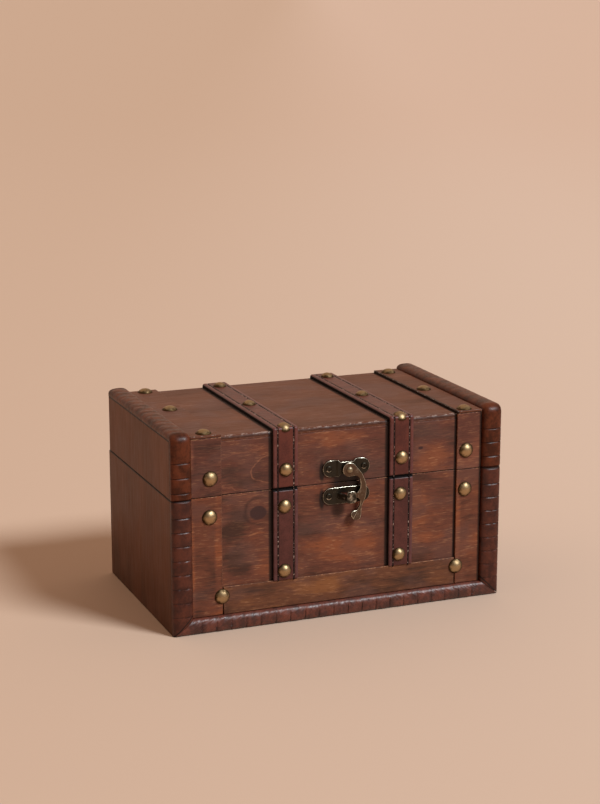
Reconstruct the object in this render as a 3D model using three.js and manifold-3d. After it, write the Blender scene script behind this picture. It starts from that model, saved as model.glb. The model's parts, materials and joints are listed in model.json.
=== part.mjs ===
// A small wooden keepsake chest: a box with a hinged lid, carved half-round corner mouldings,
// flat slats, two leather straps, dome-headed nails and a swing-hook latch.
// Millimetres, +X to the right, +Y to the back, +Z up. The origin is the middle of the underside.

import * as THREE from "three";
import { mergeVertices } from "three/addons/utils/BufferGeometryUtils.js";
import Module from "manifold-3d";

const wasm = await Module();
wasm.setup();

// Driving sizes of the whole chest
const WIDTH = 210;
const DEPTH = 128.5;
const HEIGHT = 120.8;
const SEAM_HEIGHT = 81.2;
const SEAM_GAP = 0.3;
const LID_SETBACK = 1.5;

// Boards
const END_THICK = 8;
const WALL_THICK = 6;
const FLOOR_THICK = 4;
const TOP_THICK = 3.2;
const NOSE_RADIUS = 2;
const JOINT_GAP = 0.2;

// Half-round mouldings, with carved notches across them
const MOULDING_WIDTH = 12.3;
const MOULDING_RISE = 5;
const TOP_MOULDING_RISE = 4.5;
const BASE_MOULDING_HEIGHT = 9.2;
const CORNER_RADIUS = 6;
const CORNER_SEAT = 1;
const NOTCH_PITCH = 8.5;
const BASE_NOTCH_PITCH = 9.2;
const NOTCH_WIDTH = 1.7;
const NOTCH_DEPTH = 0.55;
const FIRST_NOTCH_BELOW_SEAM = 1.9;
const FIRST_NOTCH_ABOVE_SEAM = 5.3;
const MITRE_GAP = 0.3;

// Flat slats
const SLAT_WIDTH = 17.5;
const SLAT_THICK = 1.5;
const SLAT_SHIFT = 1.1;
const BASE_SLAT_GAP = 0.7;
const BASE_SLAT_HEIGHT = 16.8;

// Leather straps
const STRAP_WIDTH = 15.6;
const STRAP_THICK = 2.3;
const STRAP_SPACING = 74;
const STRAP_SHIFT = 2.2;
const STRAP_BEND_RADIUS = 1.8;
const STRAP_BEND_SEAT = 1;
const REAR_STRAP_HEM = 6;

// Dome-headed nails
const SLAT_NAIL_RADIUS = 4.6;
const STRAP_NAIL_RADIUS = 4.2;
const NAIL_HEIGHT = 2.5;
const NAIL_RIM = 0.3;
const LID_NAIL_ABOVE_SEAM = 11.6;
const SLAT_NAIL_BELOW_SEAM = 11.4;
const STRAP_NAIL_BELOW_SEAM = 9.8;
const SLAT_NAIL_INSET = 10.5;
const BASE_NAIL_HEIGHT = 20.8;
const STRAP_NAIL_ABOVE_SLAT = 7;
const TOP_SLAT_NAIL_INSET = 10;

// Swing-hook latch
const LATCH_SHIFT = 4;
const PLATE_LENGTH = 30;
const PLATE_EAR_RADIUS = 5;
const PLATE_THICK = 1;
const PLATE_WAIST_HEIGHT = 7.4;
const PLATE_WAIST_LENGTH = 8.4;
const PLATE_WAIST_RAMP = 1.2;
const PLATE_SCREW_SPACING = 22.4;
const LOBE_LENGTH = 11.4;
const LOBE_RISE = 1;
const LOBE_RAMP = 1;
const LATCH_PLATE_ABOVE_SEAM = 9;
const CATCH_PLATE_BELOW_SEAM = 7.8;
const HORN_SHIFT = 1;
const HORN_DROP = 0.9;
const HORN_LENGTH = 31;
const HORN_THICK = 1.2;
const HORN_EYE_RADIUS = 4.4;
const HORN_LIFT = 0.6;
const TAB_BEND = 0.8;
const RIVET_RADIUS = 1.2;
const RIVET_HEAD_RADIUS = 1.9;
const RIVET_HEAD_HEIGHT = 1.2;
const RIVET_FLANGE_RADIUS = 2.3;
const RIVET_TAIL_THICK = 0.6;
const RIVET_CLEARANCE = 0.06;
const RIVET_PLAY = 0.1;
const CATCH_STAND = 5.9;
const CATCH_THICK = 0.9;
const CATCH_HEAD_WIDTH = 5.9;
const CATCH_HEAD_HEIGHT = 7.2;
const CATCH_HEAD_RADIUS = 1.7;
const CATCH_STEM_HEIGHT = 3.4;
const CATCH_REACH = 3.5;
const CATCH_ROOT = 5.2;
const CATCH_WINDOW_LENGTH = 6.5;

// Butt hinges on the outside of the back
const HINGE_FROM_STRAP = 6;
const HINGE_WIDTH = 18;
const LEAF_HEIGHT = 9;
const LEAF_THICK = 0.8;
const KNUCKLE_RADIUS = 1.7;
const KNUCKLE_LENGTH = 6;
const KNUCKLE_GAP = 0.3;
const KNUCKLE_SEAT = 0.1;
const PIN_RADIUS = 0.8;
const PIN_HEAD_RADIUS = 1.2;
const PIN_HEAD_LENGTH = 0.5;
const PIN_CLEARANCE = 0.06;
const LEAF_SCREW_SPACING = 11;
const LEAF_SCREW_OFFSET = 5.6;

// Wood screws: the latch's, and the hinges' smaller ones
const SCREW = {
  head: 2, dome: 0.5, shank: 0.9, length: 4.5, point: 1.2, slot: 0.6, slotLength: 2.2, slotDepth: 0.35,
};
const LEAF_SCREW = {
  head: 1.4, dome: 0.35, shank: 0.6, length: 3.2, point: 0.9, slot: 0.4, slotLength: 1.5, slotDepth: 0.25,
};
const SCREW_CLEARANCE = 0.1;
const SCREW_SEAT = 0.1;

// One overrun serves every cut
const OVERRUN = 1;

// Planes that the pieces share
const RIGHT = WIDTH / 2;
const CREST_Y = -DEPTH / 2;
const REAR_Y = DEPTH / 2;
const FACE_Y = CREST_Y + MOULDING_RISE;
const BACK_Y = REAR_Y - LID_SETBACK;
const INNER_RIGHT = RIGHT - END_THICK;
const INNER_FRONT = FACE_Y + WALL_THICK;
const INNER_BACK = BACK_Y - WALL_THICK;
const LID_Z = SEAM_HEIGHT + SEAM_GAP;
const TOP_Z = HEIGHT - TOP_MOULDING_RISE;
const SLAT_TOP_Z = TOP_Z + SLAT_THICK;
const CEILING_Z = TOP_Z - TOP_THICK;
const SLAT_Y = FACE_Y - SLAT_THICK;
const STRAP_Y = FACE_Y - STRAP_THICK;
const STRAP_TOP_Z = TOP_Z + STRAP_THICK;
const SLAT_OUTER = RIGHT - MOULDING_WIDTH;
const SLAT_INNER = SLAT_OUTER - SLAT_WIDTH;
const SLAT_EDGE = [SLAT_SHIFT - SLAT_INNER, SLAT_SHIFT + SLAT_INNER];
const BASE_SLAT_TOP = BASE_MOULDING_HEIGHT + BASE_SLAT_HEIGHT;
const SLAT_NAIL_X = SLAT_OUTER - SLAT_NAIL_INSET;
const TOP_SLAT_NAIL_X = SLAT_OUTER - TOP_SLAT_NAIL_INSET;
const STRAP_X = [STRAP_SHIFT - STRAP_SPACING / 2, STRAP_SHIFT + STRAP_SPACING / 2];
const LATCH_PLATE_Z = SEAM_HEIGHT + LATCH_PLATE_ABOVE_SEAM;
const CATCH_PLATE_Z = SEAM_HEIGHT - CATCH_PLATE_BELOW_SEAM;
const PLATE_SCREW_X = [LATCH_SHIFT - PLATE_SCREW_SPACING / 2, LATCH_SHIFT + PLATE_SCREW_SPACING / 2];
const PLATE_FACE_Y = FACE_Y - PLATE_THICK;
const LOBE_FACE_Y = PLATE_FACE_Y - LOBE_RISE;
const HORN_X = LATCH_SHIFT + HORN_SHIFT;
const HORN_Z = LATCH_PLATE_Z - HORN_DROP;
const HORN_BACK_Y = LOBE_FACE_Y - HORN_LIFT;
const HORN_FACE_Y = HORN_BACK_Y - HORN_THICK;
const HINGE_X = STRAP_X[1] + STRAP_WIDTH / 2 + HINGE_FROM_STRAP + HINGE_WIDTH / 2;
const HINGE_Y = BACK_Y + KNUCKLE_RADIUS + KNUCKLE_SEAT;
const HINGE_Z = SEAM_HEIGHT + SEAM_GAP / 2;
const LEAF_FACE_Y = BACK_Y + LEAF_THICK;

// Counts of facets
const DOME_SIDES = 12;
const DOME_STEPS = 3;
const ROD_SIDES = 16;
const BORE_SIDES = 24;
const BEND_STEPS = 4;
const SECTION_STEPS = 8;

// How square the mouldings' dome is, and the share of the rise where it starts
const DOME_POWER = 2.6;
const DOME_START_SHARE = 0.3;

// The folded leather's section, in shares of its width and thickness
const strapSectionShares = [[0, 0], [0, 0.72], [0.06, 1], [0.94, 1], [1, 0.72], [1, 0]];

// Nails along the lid's top: how far the front one stands from the front edge, where the middle one stands as
// a share of the way to the rear one, and how far the rear one stands from the rear edge
const topSlatNails = { left: [6.1, 0.554, 5.2], right: [4.7, 0.513, 8.8] };
const topStrapNails = { left: [3.6, 0.52, 9.6], right: [3.6, 0.5, 8.8] };

// Nails hammered in off their marks: how far across and up
const strayNails = {
  lid_left_slat_front_nail: [1.2, -1],
  body_left_slat_nail: [0.6, -0.6],
  body_left_base_nail: [0.8, -0.3],
  body_left_strap_upper_nail: [-0.8, -0.4],
  body_left_strap_lower_nail: [-1, -1.2],
  body_right_slat_nail: [-0.4, -0.9],
  body_right_base_nail: [1.3, -0.2],
  body_right_strap_upper_nail: [-0.8, -0.5],
  body_right_strap_lower_nail: [-1.3, 0],
};

// The hook's outline from its pivot, in shares of its length: down the inside of the bow, round the tooth,
// down to the thumb tab and round it, and up the outside of the bow
const hornInsideShares = [[0.126, -0.129], [0.184, -0.165], [0.218, -0.236], [0.228, -0.31], [0.214, -0.395],
  [0.162, -0.462]];
const hornToothShares = [[0.136, -0.488], [0.126, -0.526], [0.136, -0.562]];
const hornJawShares = [[0.195, -0.588], [0.223, -0.65], [0.21, -0.725], [0.146, -0.812]];
const hornTabShares = [
  [0.072, -0.824], [0.032, -0.865], [0.034, -0.932], [0.082, -0.984], [0.15, -1], [0.212, -0.976], [0.239, -0.89],
];
const hornOutsideShares = [[0.248, -0.79], [0.268, -0.706], [0.316, -0.61], [0.345, -0.49], [0.349, -0.36],
  [0.325, -0.245], [0.253, -0.085]];
const TAB_FOLD_SHARE = 0.8;
const HORN_EYE_START = THREE.MathUtils.degToRad(40);
const HORN_EYE_END = THREE.MathUtils.degToRad(290);

const wood = new THREE.MeshStandardMaterial({ color: 0x6b3f2c, roughness: 0.45 });
const moulding = new THREE.MeshStandardMaterial({ color: 0x54281f, roughness: 0.3 });
const leather = new THREE.MeshStandardMaterial({ color: 0x5a2a28, roughness: 0.5 });
const brass = new THREE.MeshStandardMaterial({ color: 0x9c8050, roughness: 0.35, metalness: 0.9 });
const bronze = new THREE.MeshStandardMaterial({ color: 0x4e463a, roughness: 0.4, metalness: 0.9 });

const chest = new THREE.Group();

function add(name, geometry, material) {
  const mesh = new THREE.Mesh(geometry, material);
  mesh.name = name;
  chest.add(mesh);
}

// Helpers that turn geometries into solids, and cut and join them

function bare(geometry) {
  const copy = geometry.index ? geometry.toNonIndexed() : geometry.clone();
  copy.deleteAttribute("normal");
  copy.deleteAttribute("uv");
  return copy;
}

function solidOf(geometry) {
  const merged = mergeVertices(bare(geometry));
  return new wasm.Manifold(new wasm.Mesh({
    numProp: 3,
    vertProperties: new Float32Array(merged.attributes.position.array),
    triVerts: new Uint32Array(merged.index.array),
  }));
}

function geometryOf(solid) {
  const mesh = solid.getMesh();
  const geometry = new THREE.BufferGeometry();
  geometry.setAttribute("position", new THREE.BufferAttribute(mesh.vertProperties, 3));
  geometry.setIndex(new THREE.BufferAttribute(mesh.triVerts, 1));
  return geometry;
}

function cut(geometry, cutters) {
  return geometryOf(cutters.reduce((solid, cutter) => solid.subtract(solidOf(cutter)), solidOf(geometry)));
}

function join(geometries) {
  return geometryOf(geometries.map(solidOf).reduce((solid, next) => solid.add(next)));
}

function overlap(first, second) {
  return geometryOf(solidOf(first).intersect(solidOf(second)));
}

// Plain shapes

function box(x0, x1, y0, y1, z0, z1) {
  const geometry = new THREE.BoxGeometry(x1 - x0, y1 - y0, z1 - z0);
  return geometry.translate((x0 + x1) / 2, (y0 + y1) / 2, (z0 + z1) / 2);
}

function outline(points) {
  return new THREE.Shape(points.map(([a, b]) => new THREE.Vector2(a, b)));
}

function extrude(shape, depth, curveSegments) {
  return new THREE.ExtrudeGeometry(shape, { depth, bevelEnabled: false, curveSegments });
}

// A shape drawn in X and Z that stands from the plane y = back towards the front
function facing(shape, back, depth, curveSegments) {
  return extrude(shape, depth, curveSegments).rotateX(Math.PI / 2).translate(0, back, 0);
}

// A shape drawn in X and Y that stands from z0 to z1
function standing(shape, z0, z1, curveSegments) {
  return extrude(shape, z1 - z0, curveSegments).translate(0, 0, z0);
}

// A shape drawn in Y and Z that runs from x0 to x1
function crossing(shape, x0, x1, curveSegments) {
  return extrude(shape, x1 - x0, curveSegments).rotateX(Math.PI / 2).rotateZ(Math.PI / 2).translate(x0, 0, 0);
}

// A turned shape about the Y axis, from pairs of radius and height
function turned(points, sides) {
  return new THREE.LatheGeometry(points.map(([radius, height]) => new THREE.Vector2(radius, height)), sides);
}

function rodAlongX(radius, x0, x1, y, z, sides) {
  const geometry = new THREE.CylinderGeometry(radius, radius, x1 - x0, sides);
  return geometry.rotateZ(Math.PI / 2).translate((x0 + x1) / 2, y, z);
}

function rodAlongY(radius, x, y0, y1, z, sides) {
  return new THREE.CylinderGeometry(radius, radius, y1 - y0, sides).translate(x, (y0 + y1) / 2, z);
}

// Bands: mouldings and straps laid along stations. A station has a back point and a crest point in the
// plane of the run. A section point has a share of the width and a share of the way from back to crest.

function signedVolume(geometry) {
  const position = geometry.attributes.position;
  const [a, b, c] = [new THREE.Vector3(), new THREE.Vector3(), new THREE.Vector3()];
  let sum = 0;
  for (let corner = 0; corner < geometry.index.count; corner += 3) {
    a.fromBufferAttribute(position, geometry.index.getX(corner));
    b.fromBufferAttribute(position, geometry.index.getX(corner + 1));
    c.fromBufferAttribute(position, geometry.index.getX(corner + 2));
    sum += a.dot(b.cross(c));
  }
  return sum;
}

function facedOutwards(geometry) {
  if (signedVolume(geometry) < 0) {
    const index = geometry.index.array;
    for (let corner = 0; corner < index.length; corner += 3) {
      [index[corner], index[corner + 1]] = [index[corner + 1], index[corner]];
    }
  }
  return geometry;
}

function band(stations, section, place) {
  const positions = stations.flatMap(({ back, crest, lowered = 1, skew = 0 }) =>
    section.flatMap(([across, out]) => {
      const share = out * lowered;
      const a = back[0] + (crest[0] - back[0]) * share;
      const b = back[1] + (crest[1] - back[1]) * share;
      return place(across, a, b, skew * across);
    }));
  const count = section.length;
  const last = (stations.length - 1) * count;
  const index = [];
  for (let here = 0; here < last; here += count) {
    for (let point = 0; point < count; point += 1) {
      const next = (point + 1) % count;
      const there = here + count;
      index.push(here + point, there + point, there + next, here + point, there + next, here + next);
    }
  }
  for (let point = 1; point + 1 < count; point += 1) {
    index.push(0, point, point + 1, last, last + point + 1, last + point);
  }
  const geometry = new THREE.BufferGeometry();
  geometry.setAttribute("position", new THREE.BufferAttribute(new Float32Array(positions), 3));
  geometry.setIndex(index);
  return facedOutwards(geometry);
}

// The domed section of the mouldings: a low side wall, then a squarish half round
function mouldingSection() {
  const squared = (value) => Math.sign(value) * Math.abs(value) ** (2 / DOME_POWER);
  const dome = Array.from({ length: SECTION_STEPS + 1 }, (_, step) => {
    const angle = Math.PI * step / SECTION_STEPS;
    const share = squared(Math.sin(angle));
    return [(1 - squared(Math.cos(angle))) / 2, DOME_START_SHARE + (1 - DOME_START_SHARE) * share];
  });
  return [[0, 0], ...dome, [1, 0]];
}

// Stations across each notch that starts at first and repeats at the pitch, up to the end of the run
function notches(first, end, stationAt, rise, pitch = NOTCH_PITCH) {
  const way = Math.sign(end - first);
  const count = Math.floor((Math.abs(end - first) - NOTCH_WIDTH / 2) / pitch) + 1;
  return Array.from({ length: count }, (_, step) => {
    const middle = first + way * step * pitch;
    return [
      stationAt(middle - way * NOTCH_WIDTH / 2),
      { ...stationAt(middle), lowered: 1 - NOTCH_DEPTH / rise },
      stationAt(middle + way * NOTCH_WIDTH / 2),
    ];
  }).flat();
}

// Stations round a corner: the back points run along both faces of the corner, the crest points on an arc
function bend(corner, seat, centre, radius, from, to) {
  return Array.from({ length: BEND_STEPS + 1 }, (_, step) => {
    const share = step / BEND_STEPS;
    const angle = Math.PI / 2 * share;
    const before = seat * Math.max(0, 1 - 2 * share);
    const after = seat * Math.max(0, 2 * share - 1);
    return {
      back: [corner[0] - to[0] * before - from[0] * after, corner[1] - to[1] * before - from[1] * after],
      crest: [
        centre[0] + radius * (Math.cos(angle) * from[0] + Math.sin(angle) * to[0]),
        centre[1] + radius * (Math.cos(angle) * from[1] + Math.sin(angle) * to[1]),
      ],
    };
  });
}

// Boards of the box and of the lid

function pilotHoles(places, screw, depth, front) {
  return places.map(([x, z]) => {
    const [y0, y1] = front ? [FACE_Y - OVERRUN, FACE_Y + depth] : [BACK_Y - depth, BACK_Y + OVERRUN];
    return rodAlongY(screw.shank + SCREW_CLEARANCE, x, y0, y1, z, DOME_SIDES);
  });
}

function leafScrewPlaces(x, side) {
  return [-1, 1].map((hand) => [x + hand * LEAF_SCREW_SPACING / 2, HINGE_Z + side * LEAF_SCREW_OFFSET]);
}

function backHoles(side) {
  const places = [-HINGE_X, HINGE_X].flatMap((x) => leafScrewPlaces(x, side));
  return pilotHoles(places, LEAF_SCREW, LEAF_SCREW.length, false);
}

function bodyBoards() {
  add("body_left_panel", box(-RIGHT, -INNER_RIGHT, FACE_Y, REAR_Y, 0, SEAM_HEIGHT), wood);
  add("body_right_panel", box(INNER_RIGHT, RIGHT, FACE_Y, REAR_Y, 0, SEAM_HEIGHT), wood);
  const front = box(-INNER_RIGHT, INNER_RIGHT, FACE_Y, INNER_FRONT, 0, SEAM_HEIGHT);
  const latchHoles = pilotHoles(PLATE_SCREW_X.map((x) => [x, CATCH_PLATE_Z]), SCREW, SCREW.length, true);
  add("body_front_panel", cut(front, latchHoles), wood);
  const back = box(-INNER_RIGHT, INNER_RIGHT, INNER_BACK, BACK_Y, 0, SEAM_HEIGHT);
  add("body_back_panel", cut(back, backHoles(-1)), wood);
  add("body_floor", box(-INNER_RIGHT, INNER_RIGHT, INNER_FRONT, INNER_BACK, 0, FLOOR_THICK), wood);
}

function lidBoards() {
  add("lid_left_panel", box(-RIGHT, -INNER_RIGHT, FACE_Y, BACK_Y, LID_Z, TOP_Z), wood);
  add("lid_right_panel", box(INNER_RIGHT, RIGHT, FACE_Y, BACK_Y, LID_Z, TOP_Z), wood);
  const front = box(-INNER_RIGHT, INNER_RIGHT, FACE_Y, INNER_FRONT, LID_Z, CEILING_Z);
  const latchHoles = pilotHoles(PLATE_SCREW_X.map((x) => [x, LATCH_PLATE_Z]), SCREW, SCREW.length, true);
  add("lid_front_panel", cut(front, latchHoles), wood);
  const back = box(-INNER_RIGHT, INNER_RIGHT, INNER_BACK, BACK_Y, LID_Z, CEILING_Z);
  add("lid_back_panel", cut(back, backHoles(1)), wood);
  const top = new THREE.Shape();
  top.moveTo(FACE_Y, CEILING_Z);
  top.lineTo(BACK_Y, CEILING_Z);
  top.lineTo(BACK_Y, TOP_Z);
  top.lineTo(FACE_Y + NOSE_RADIUS, TOP_Z);
  top.absarc(FACE_Y + NOSE_RADIUS, TOP_Z - NOSE_RADIUS, NOSE_RADIUS, Math.PI / 2, Math.PI, false);
  add("lid_top_panel", crossing(top, -INNER_RIGHT, INNER_RIGHT, BEND_STEPS / 2), wood);
}

// Slats

function slats() {
  const outer = SLAT_OUTER - JOINT_GAP;
  const sides = [["left", -outer, SLAT_EDGE[0]], ["right", SLAT_EDGE[1], outer]];
  sides.forEach(([side, x0, x1]) => {
    const foot = BASE_MOULDING_HEIGHT + JOINT_GAP;
    add(`body_${side}_slat`, box(x0, x1, SLAT_Y, FACE_Y, foot, SEAM_HEIGHT), wood);
    add(`lid_${side}_front_slat`, box(x0, x1, SLAT_Y, FACE_Y, LID_Z, TOP_Z - JOINT_GAP), wood);
    add(`lid_${side}_top_slat`, box(x0, x1, SLAT_Y, BACK_Y, TOP_Z, SLAT_TOP_Z), wood);
  });
  const [start, end] = [SLAT_EDGE[0] + BASE_SLAT_GAP, SLAT_EDGE[1] - BASE_SLAT_GAP];
  const low = BASE_MOULDING_HEIGHT + JOINT_GAP;
  add("body_base_slat", box(start, end, SLAT_Y, FACE_Y, low, BASE_SLAT_TOP), wood);
}

// Mouldings

function mouldings() {
  const section = mouldingSection();
  const frontAt = (z) => ({ back: [FACE_Y, z], crest: [CREST_Y, z] });
  const topAt = (y) => ({ back: [y, TOP_Z], crest: [y, HEIGHT] });
  const centre = [CREST_Y + CORNER_RADIUS, HEIGHT - CORNER_RADIUS];
  const upright = [
    { ...frontAt(MITRE_GAP), skew: BASE_MOULDING_HEIGHT },
    ...notches(SEAM_HEIGHT - FIRST_NOTCH_BELOW_SEAM, BASE_MOULDING_HEIGHT, frontAt, MOULDING_RISE).reverse(),
    frontAt(SEAM_HEIGHT),
  ];
  const overLid = [
    frontAt(LID_Z),
    ...notches(LID_Z + FIRST_NOTCH_ABOVE_SEAM, centre[1], frontAt, MOULDING_RISE),
    ...bend([FACE_Y, TOP_Z], CORNER_SEAT, centre, CORNER_RADIUS, [-1, 0], [0, 1]),
    ...notches(centre[0] + NOTCH_PITCH / 2, BACK_Y, topAt, TOP_MOULDING_RISE),
    topAt(BACK_Y),
  ];
  [["left", -1], ["right", 1]].forEach(([side, hand]) => {
    const place = (across, y, z, along) => [hand * (RIGHT - across * MOULDING_WIDTH), y, z + along];
    add(`body_${side}_moulding`, band(upright, section, place), moulding);
    add(`lid_${side}_moulding`, band(overLid, section, place), moulding);
  });
  const baseAt = (x) => ({ back: [x, FACE_Y], crest: [x, CREST_Y] });
  const base = [
    { ...baseAt(-RIGHT), skew: MOULDING_WIDTH },
    ...notches(-SLAT_OUTER + BASE_NOTCH_PITCH / 2, SLAT_OUTER, baseAt, MOULDING_RISE, BASE_NOTCH_PITCH),
    { ...baseAt(RIGHT), skew: -MOULDING_WIDTH },
  ];
  const low = (across, x, y, along) => [x + along, y, across * BASE_MOULDING_HEIGHT];
  add("body_base_moulding", band(base, section, low), moulding);
}

// Straps

function straps() {
  const frontAt = (z) => ({ back: [FACE_Y, z], crest: [STRAP_Y, z] });
  const rear = BACK_Y + STRAP_THICK;
  const [radius, seat] = [STRAP_BEND_RADIUS, STRAP_BEND_SEAT];
  const onBody = [frontAt(BASE_SLAT_TOP + JOINT_GAP), frontAt(SEAM_HEIGHT)];
  const onLid = [
    frontAt(LID_Z),
    ...bend([FACE_Y, TOP_Z], seat, [STRAP_Y + radius, STRAP_TOP_Z - radius], radius, [-1, 0], [0, 1]),
    ...bend([BACK_Y, TOP_Z], seat, [rear - radius, STRAP_TOP_Z - radius], radius, [0, 1], [1, 0]),
    { back: [BACK_Y, LID_Z + REAR_STRAP_HEM], crest: [rear, LID_Z + REAR_STRAP_HEM] },
  ];
  ["left", "right"].forEach((side, index) => {
    const place = (across, y, z) => [STRAP_X[index] + (across - 1 / 2) * STRAP_WIDTH, y, z];
    add(`body_${side}_strap`, band(onBody, strapSectionShares, place), leather);
    add(`lid_${side}_strap`, band(onLid, strapSectionShares, place), leather);
  });
}

// Dome-headed nails

function domeHead(radius) {
  const dome = NAIL_HEIGHT - NAIL_RIM;
  const sphere = (radius ** 2 + dome ** 2) / (2 * dome);
  const edge = Math.asin(radius / sphere);
  const arc = Array.from({ length: DOME_STEPS + 1 }, (_, step) => {
    const angle = edge * (1 - step / DOME_STEPS);
    return [sphere * Math.sin(angle), NAIL_HEIGHT - sphere * (1 - Math.cos(angle))];
  });
  return turned([[0, 0], [radius, 0], ...arc], DOME_SIDES);
}

function frontNail(name, radius, x, y, z) {
  const [across, up] = strayNails[name] ?? [0, 0];
  add(name, domeHead(radius).rotateX(Math.PI).translate(x + across, y, z + up), brass);
}

function topNails(name, radius, x, z, edge, [fromFront, share, fromRear]) {
  const [front, back] = [edge + fromFront, BACK_Y - fromRear];
  [front, front + (back - front) * share, back].forEach((y, index) => {
    add(`${name}_${index + 1}`, domeHead(radius).rotateX(Math.PI / 2).translate(x, y, z), brass);
  });
}

function nails() {
  const lidZ = LID_Z + LID_NAIL_ABOVE_SEAM;
  [["left", -1], ["right", 1]].forEach(([side, hand], index) => {
    const slat = [SLAT_NAIL_RADIUS, hand * SLAT_NAIL_X, SLAT_Y];
    const strap = [STRAP_NAIL_RADIUS, STRAP_X[index], STRAP_Y];
    frontNail(`body_${side}_slat_nail`, ...slat, SEAM_HEIGHT - SLAT_NAIL_BELOW_SEAM);
    frontNail(`body_${side}_base_nail`, SLAT_NAIL_RADIUS, hand * SLAT_INNER, SLAT_Y, BASE_NAIL_HEIGHT);
    frontNail(`body_${side}_strap_upper_nail`, ...strap, SEAM_HEIGHT - STRAP_NAIL_BELOW_SEAM);
    frontNail(`body_${side}_strap_lower_nail`, ...strap, BASE_SLAT_TOP + STRAP_NAIL_ABOVE_SLAT);
    frontNail(`lid_${side}_slat_front_nail`, ...slat, lidZ);
    frontNail(`lid_${side}_strap_front_nail`, ...strap, lidZ);
    topNails(`lid_${side}_slat_top_nail`, SLAT_NAIL_RADIUS, hand * TOP_SLAT_NAIL_X, SLAT_TOP_Z, SLAT_Y,
      topSlatNails[side]);
    topNails(`lid_${side}_strap_top_nail`, STRAP_NAIL_RADIUS, STRAP_X[index], STRAP_TOP_Z, STRAP_Y,
      topStrapNails[side]);
  });
}

// Wood screws, drawn along Y with the head at y = 0 and the point at -Y. They stay one with their plates.

function screwBlank({ head, dome, shank, length, point }) {
  return turned([
    [0, -length], [shank, -length + point], [shank, -SCREW_SEAT], [head, -SCREW_SEAT], [head, dome / 2],
    [head * 3 / 4, dome], [0, dome],
  ], DOME_SIDES);
}

function driveSlots({ dome, slot, slotLength, slotDepth }) {
  const half = slotLength / 2;
  const [low, high] = [dome - slotDepth, dome + OVERRUN];
  return [
    box(-half, half, low, high, -slot / 2, slot / 2),
    box(-slot / 2, slot / 2, low, high, -half, half),
  ];
}

function screwed(plate, screw, places, y, towardsBack) {
  const turn = towardsBack ? 0 : Math.PI;
  const seat = (geometry, [x, z]) => geometry.rotateX(turn).translate(x, y, z);
  const blanks = places.map((place) => seat(screwBlank(screw), place));
  const slots = places.flatMap((place) => driveSlots(screw).map((slot) => seat(slot, place)));
  return cut(join([plate, ...blanks]), slots);
}

// Latch

function plateOutline(z, waistHeight) {
  const half = PLATE_LENGTH / 2 - PLATE_EAR_RADIUS;
  const [near, far] = [PLATE_WAIST_LENGTH / 2, PLATE_WAIST_LENGTH / 2 + PLATE_WAIST_RAMP];
  const waist = (side) => [[far, PLATE_EAR_RADIUS], [near, waistHeight / 2], [-near, waistHeight / 2],
    [-far, PLATE_EAR_RADIUS]].forEach(([x, up]) => shape.lineTo(LATCH_SHIFT + side * x, z + side * up));
  const shape = new THREE.Shape();
  shape.absarc(LATCH_SHIFT + half, z, PLATE_EAR_RADIUS, -Math.PI / 2, Math.PI / 2, false);
  waist(1);
  shape.absarc(LATCH_SHIFT - half, z, PLATE_EAR_RADIUS, Math.PI / 2, Math.PI * 3 / 2, false);
  waist(-1);
  return shape;
}

function latchPlate() {
  const reach = PLATE_LENGTH / 2 + OVERRUN;
  const [inner, outer] = [LOBE_LENGTH / 2, LOBE_LENGTH / 2 + LOBE_RAMP];
  const lobeBack = FACE_Y - LOBE_RISE;
  const profile = outline([
    [-reach, FACE_Y], [-reach, PLATE_FACE_Y], [-outer, PLATE_FACE_Y], [-inner, LOBE_FACE_Y],
    [inner, LOBE_FACE_Y], [outer, PLATE_FACE_Y], [reach, PLATE_FACE_Y], [reach, FACE_Y],
    [outer, FACE_Y], [inner, lobeBack], [-inner, lobeBack], [-outer, FACE_Y],
  ].map(([x, y]) => [LATCH_SHIFT + x, y]));
  const tall = PLATE_EAR_RADIUS + OVERRUN;
  const strip = standing(profile, LATCH_PLATE_Z - tall, LATCH_PLATE_Z + tall, 1);
  const depth = PLATE_THICK + LOBE_RISE + 2 * OVERRUN;
  const front = plateOutline(LATCH_PLATE_Z, PLATE_WAIST_HEIGHT);
  const blank = overlap(strip, facing(front, FACE_Y + OVERRUN, depth, BEND_STEPS + 2));
  const bore = RIVET_RADIUS + RIVET_CLEARANCE;
  const pivot = rodAlongY(bore, HORN_X, LOBE_FACE_Y - OVERRUN, FACE_Y, HORN_Z, BORE_SIDES);
  const places = PLATE_SCREW_X.map((x) => [x, LATCH_PLATE_Z]);
  return screwed(cut(blank, [pivot]), SCREW, places, PLATE_FACE_Y, false);
}

function rivet() {
  const tail = LOBE_RISE - RIVET_PLAY;
  const collar = LOBE_RISE + PLATE_THICK + RIVET_PLAY / 2;
  const seat = FACE_Y - HORN_BACK_Y - RIVET_PLAY;
  const cap = FACE_Y - HORN_FACE_Y + RIVET_PLAY;
  const crown = cap + RIVET_HEAD_HEIGHT;
  const profile = [
    [0, tail - RIVET_TAIL_THICK], [RIVET_FLANGE_RADIUS, tail - RIVET_TAIL_THICK], [RIVET_FLANGE_RADIUS, tail],
    [RIVET_RADIUS, tail], [RIVET_RADIUS, collar], [RIVET_FLANGE_RADIUS, collar], [RIVET_FLANGE_RADIUS, seat],
    [RIVET_RADIUS, seat], [RIVET_RADIUS, cap], [RIVET_HEAD_RADIUS, cap],
    [RIVET_HEAD_RADIUS, cap + RIVET_HEAD_HEIGHT / 3],
    [RIVET_HEAD_RADIUS * 2 / 3, crown - RIVET_HEAD_HEIGHT / 6], [0, crown],
  ];
  return turned(profile, ROD_SIDES).rotateX(Math.PI).translate(HORN_X, FACE_Y, HORN_Z);
}

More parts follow.
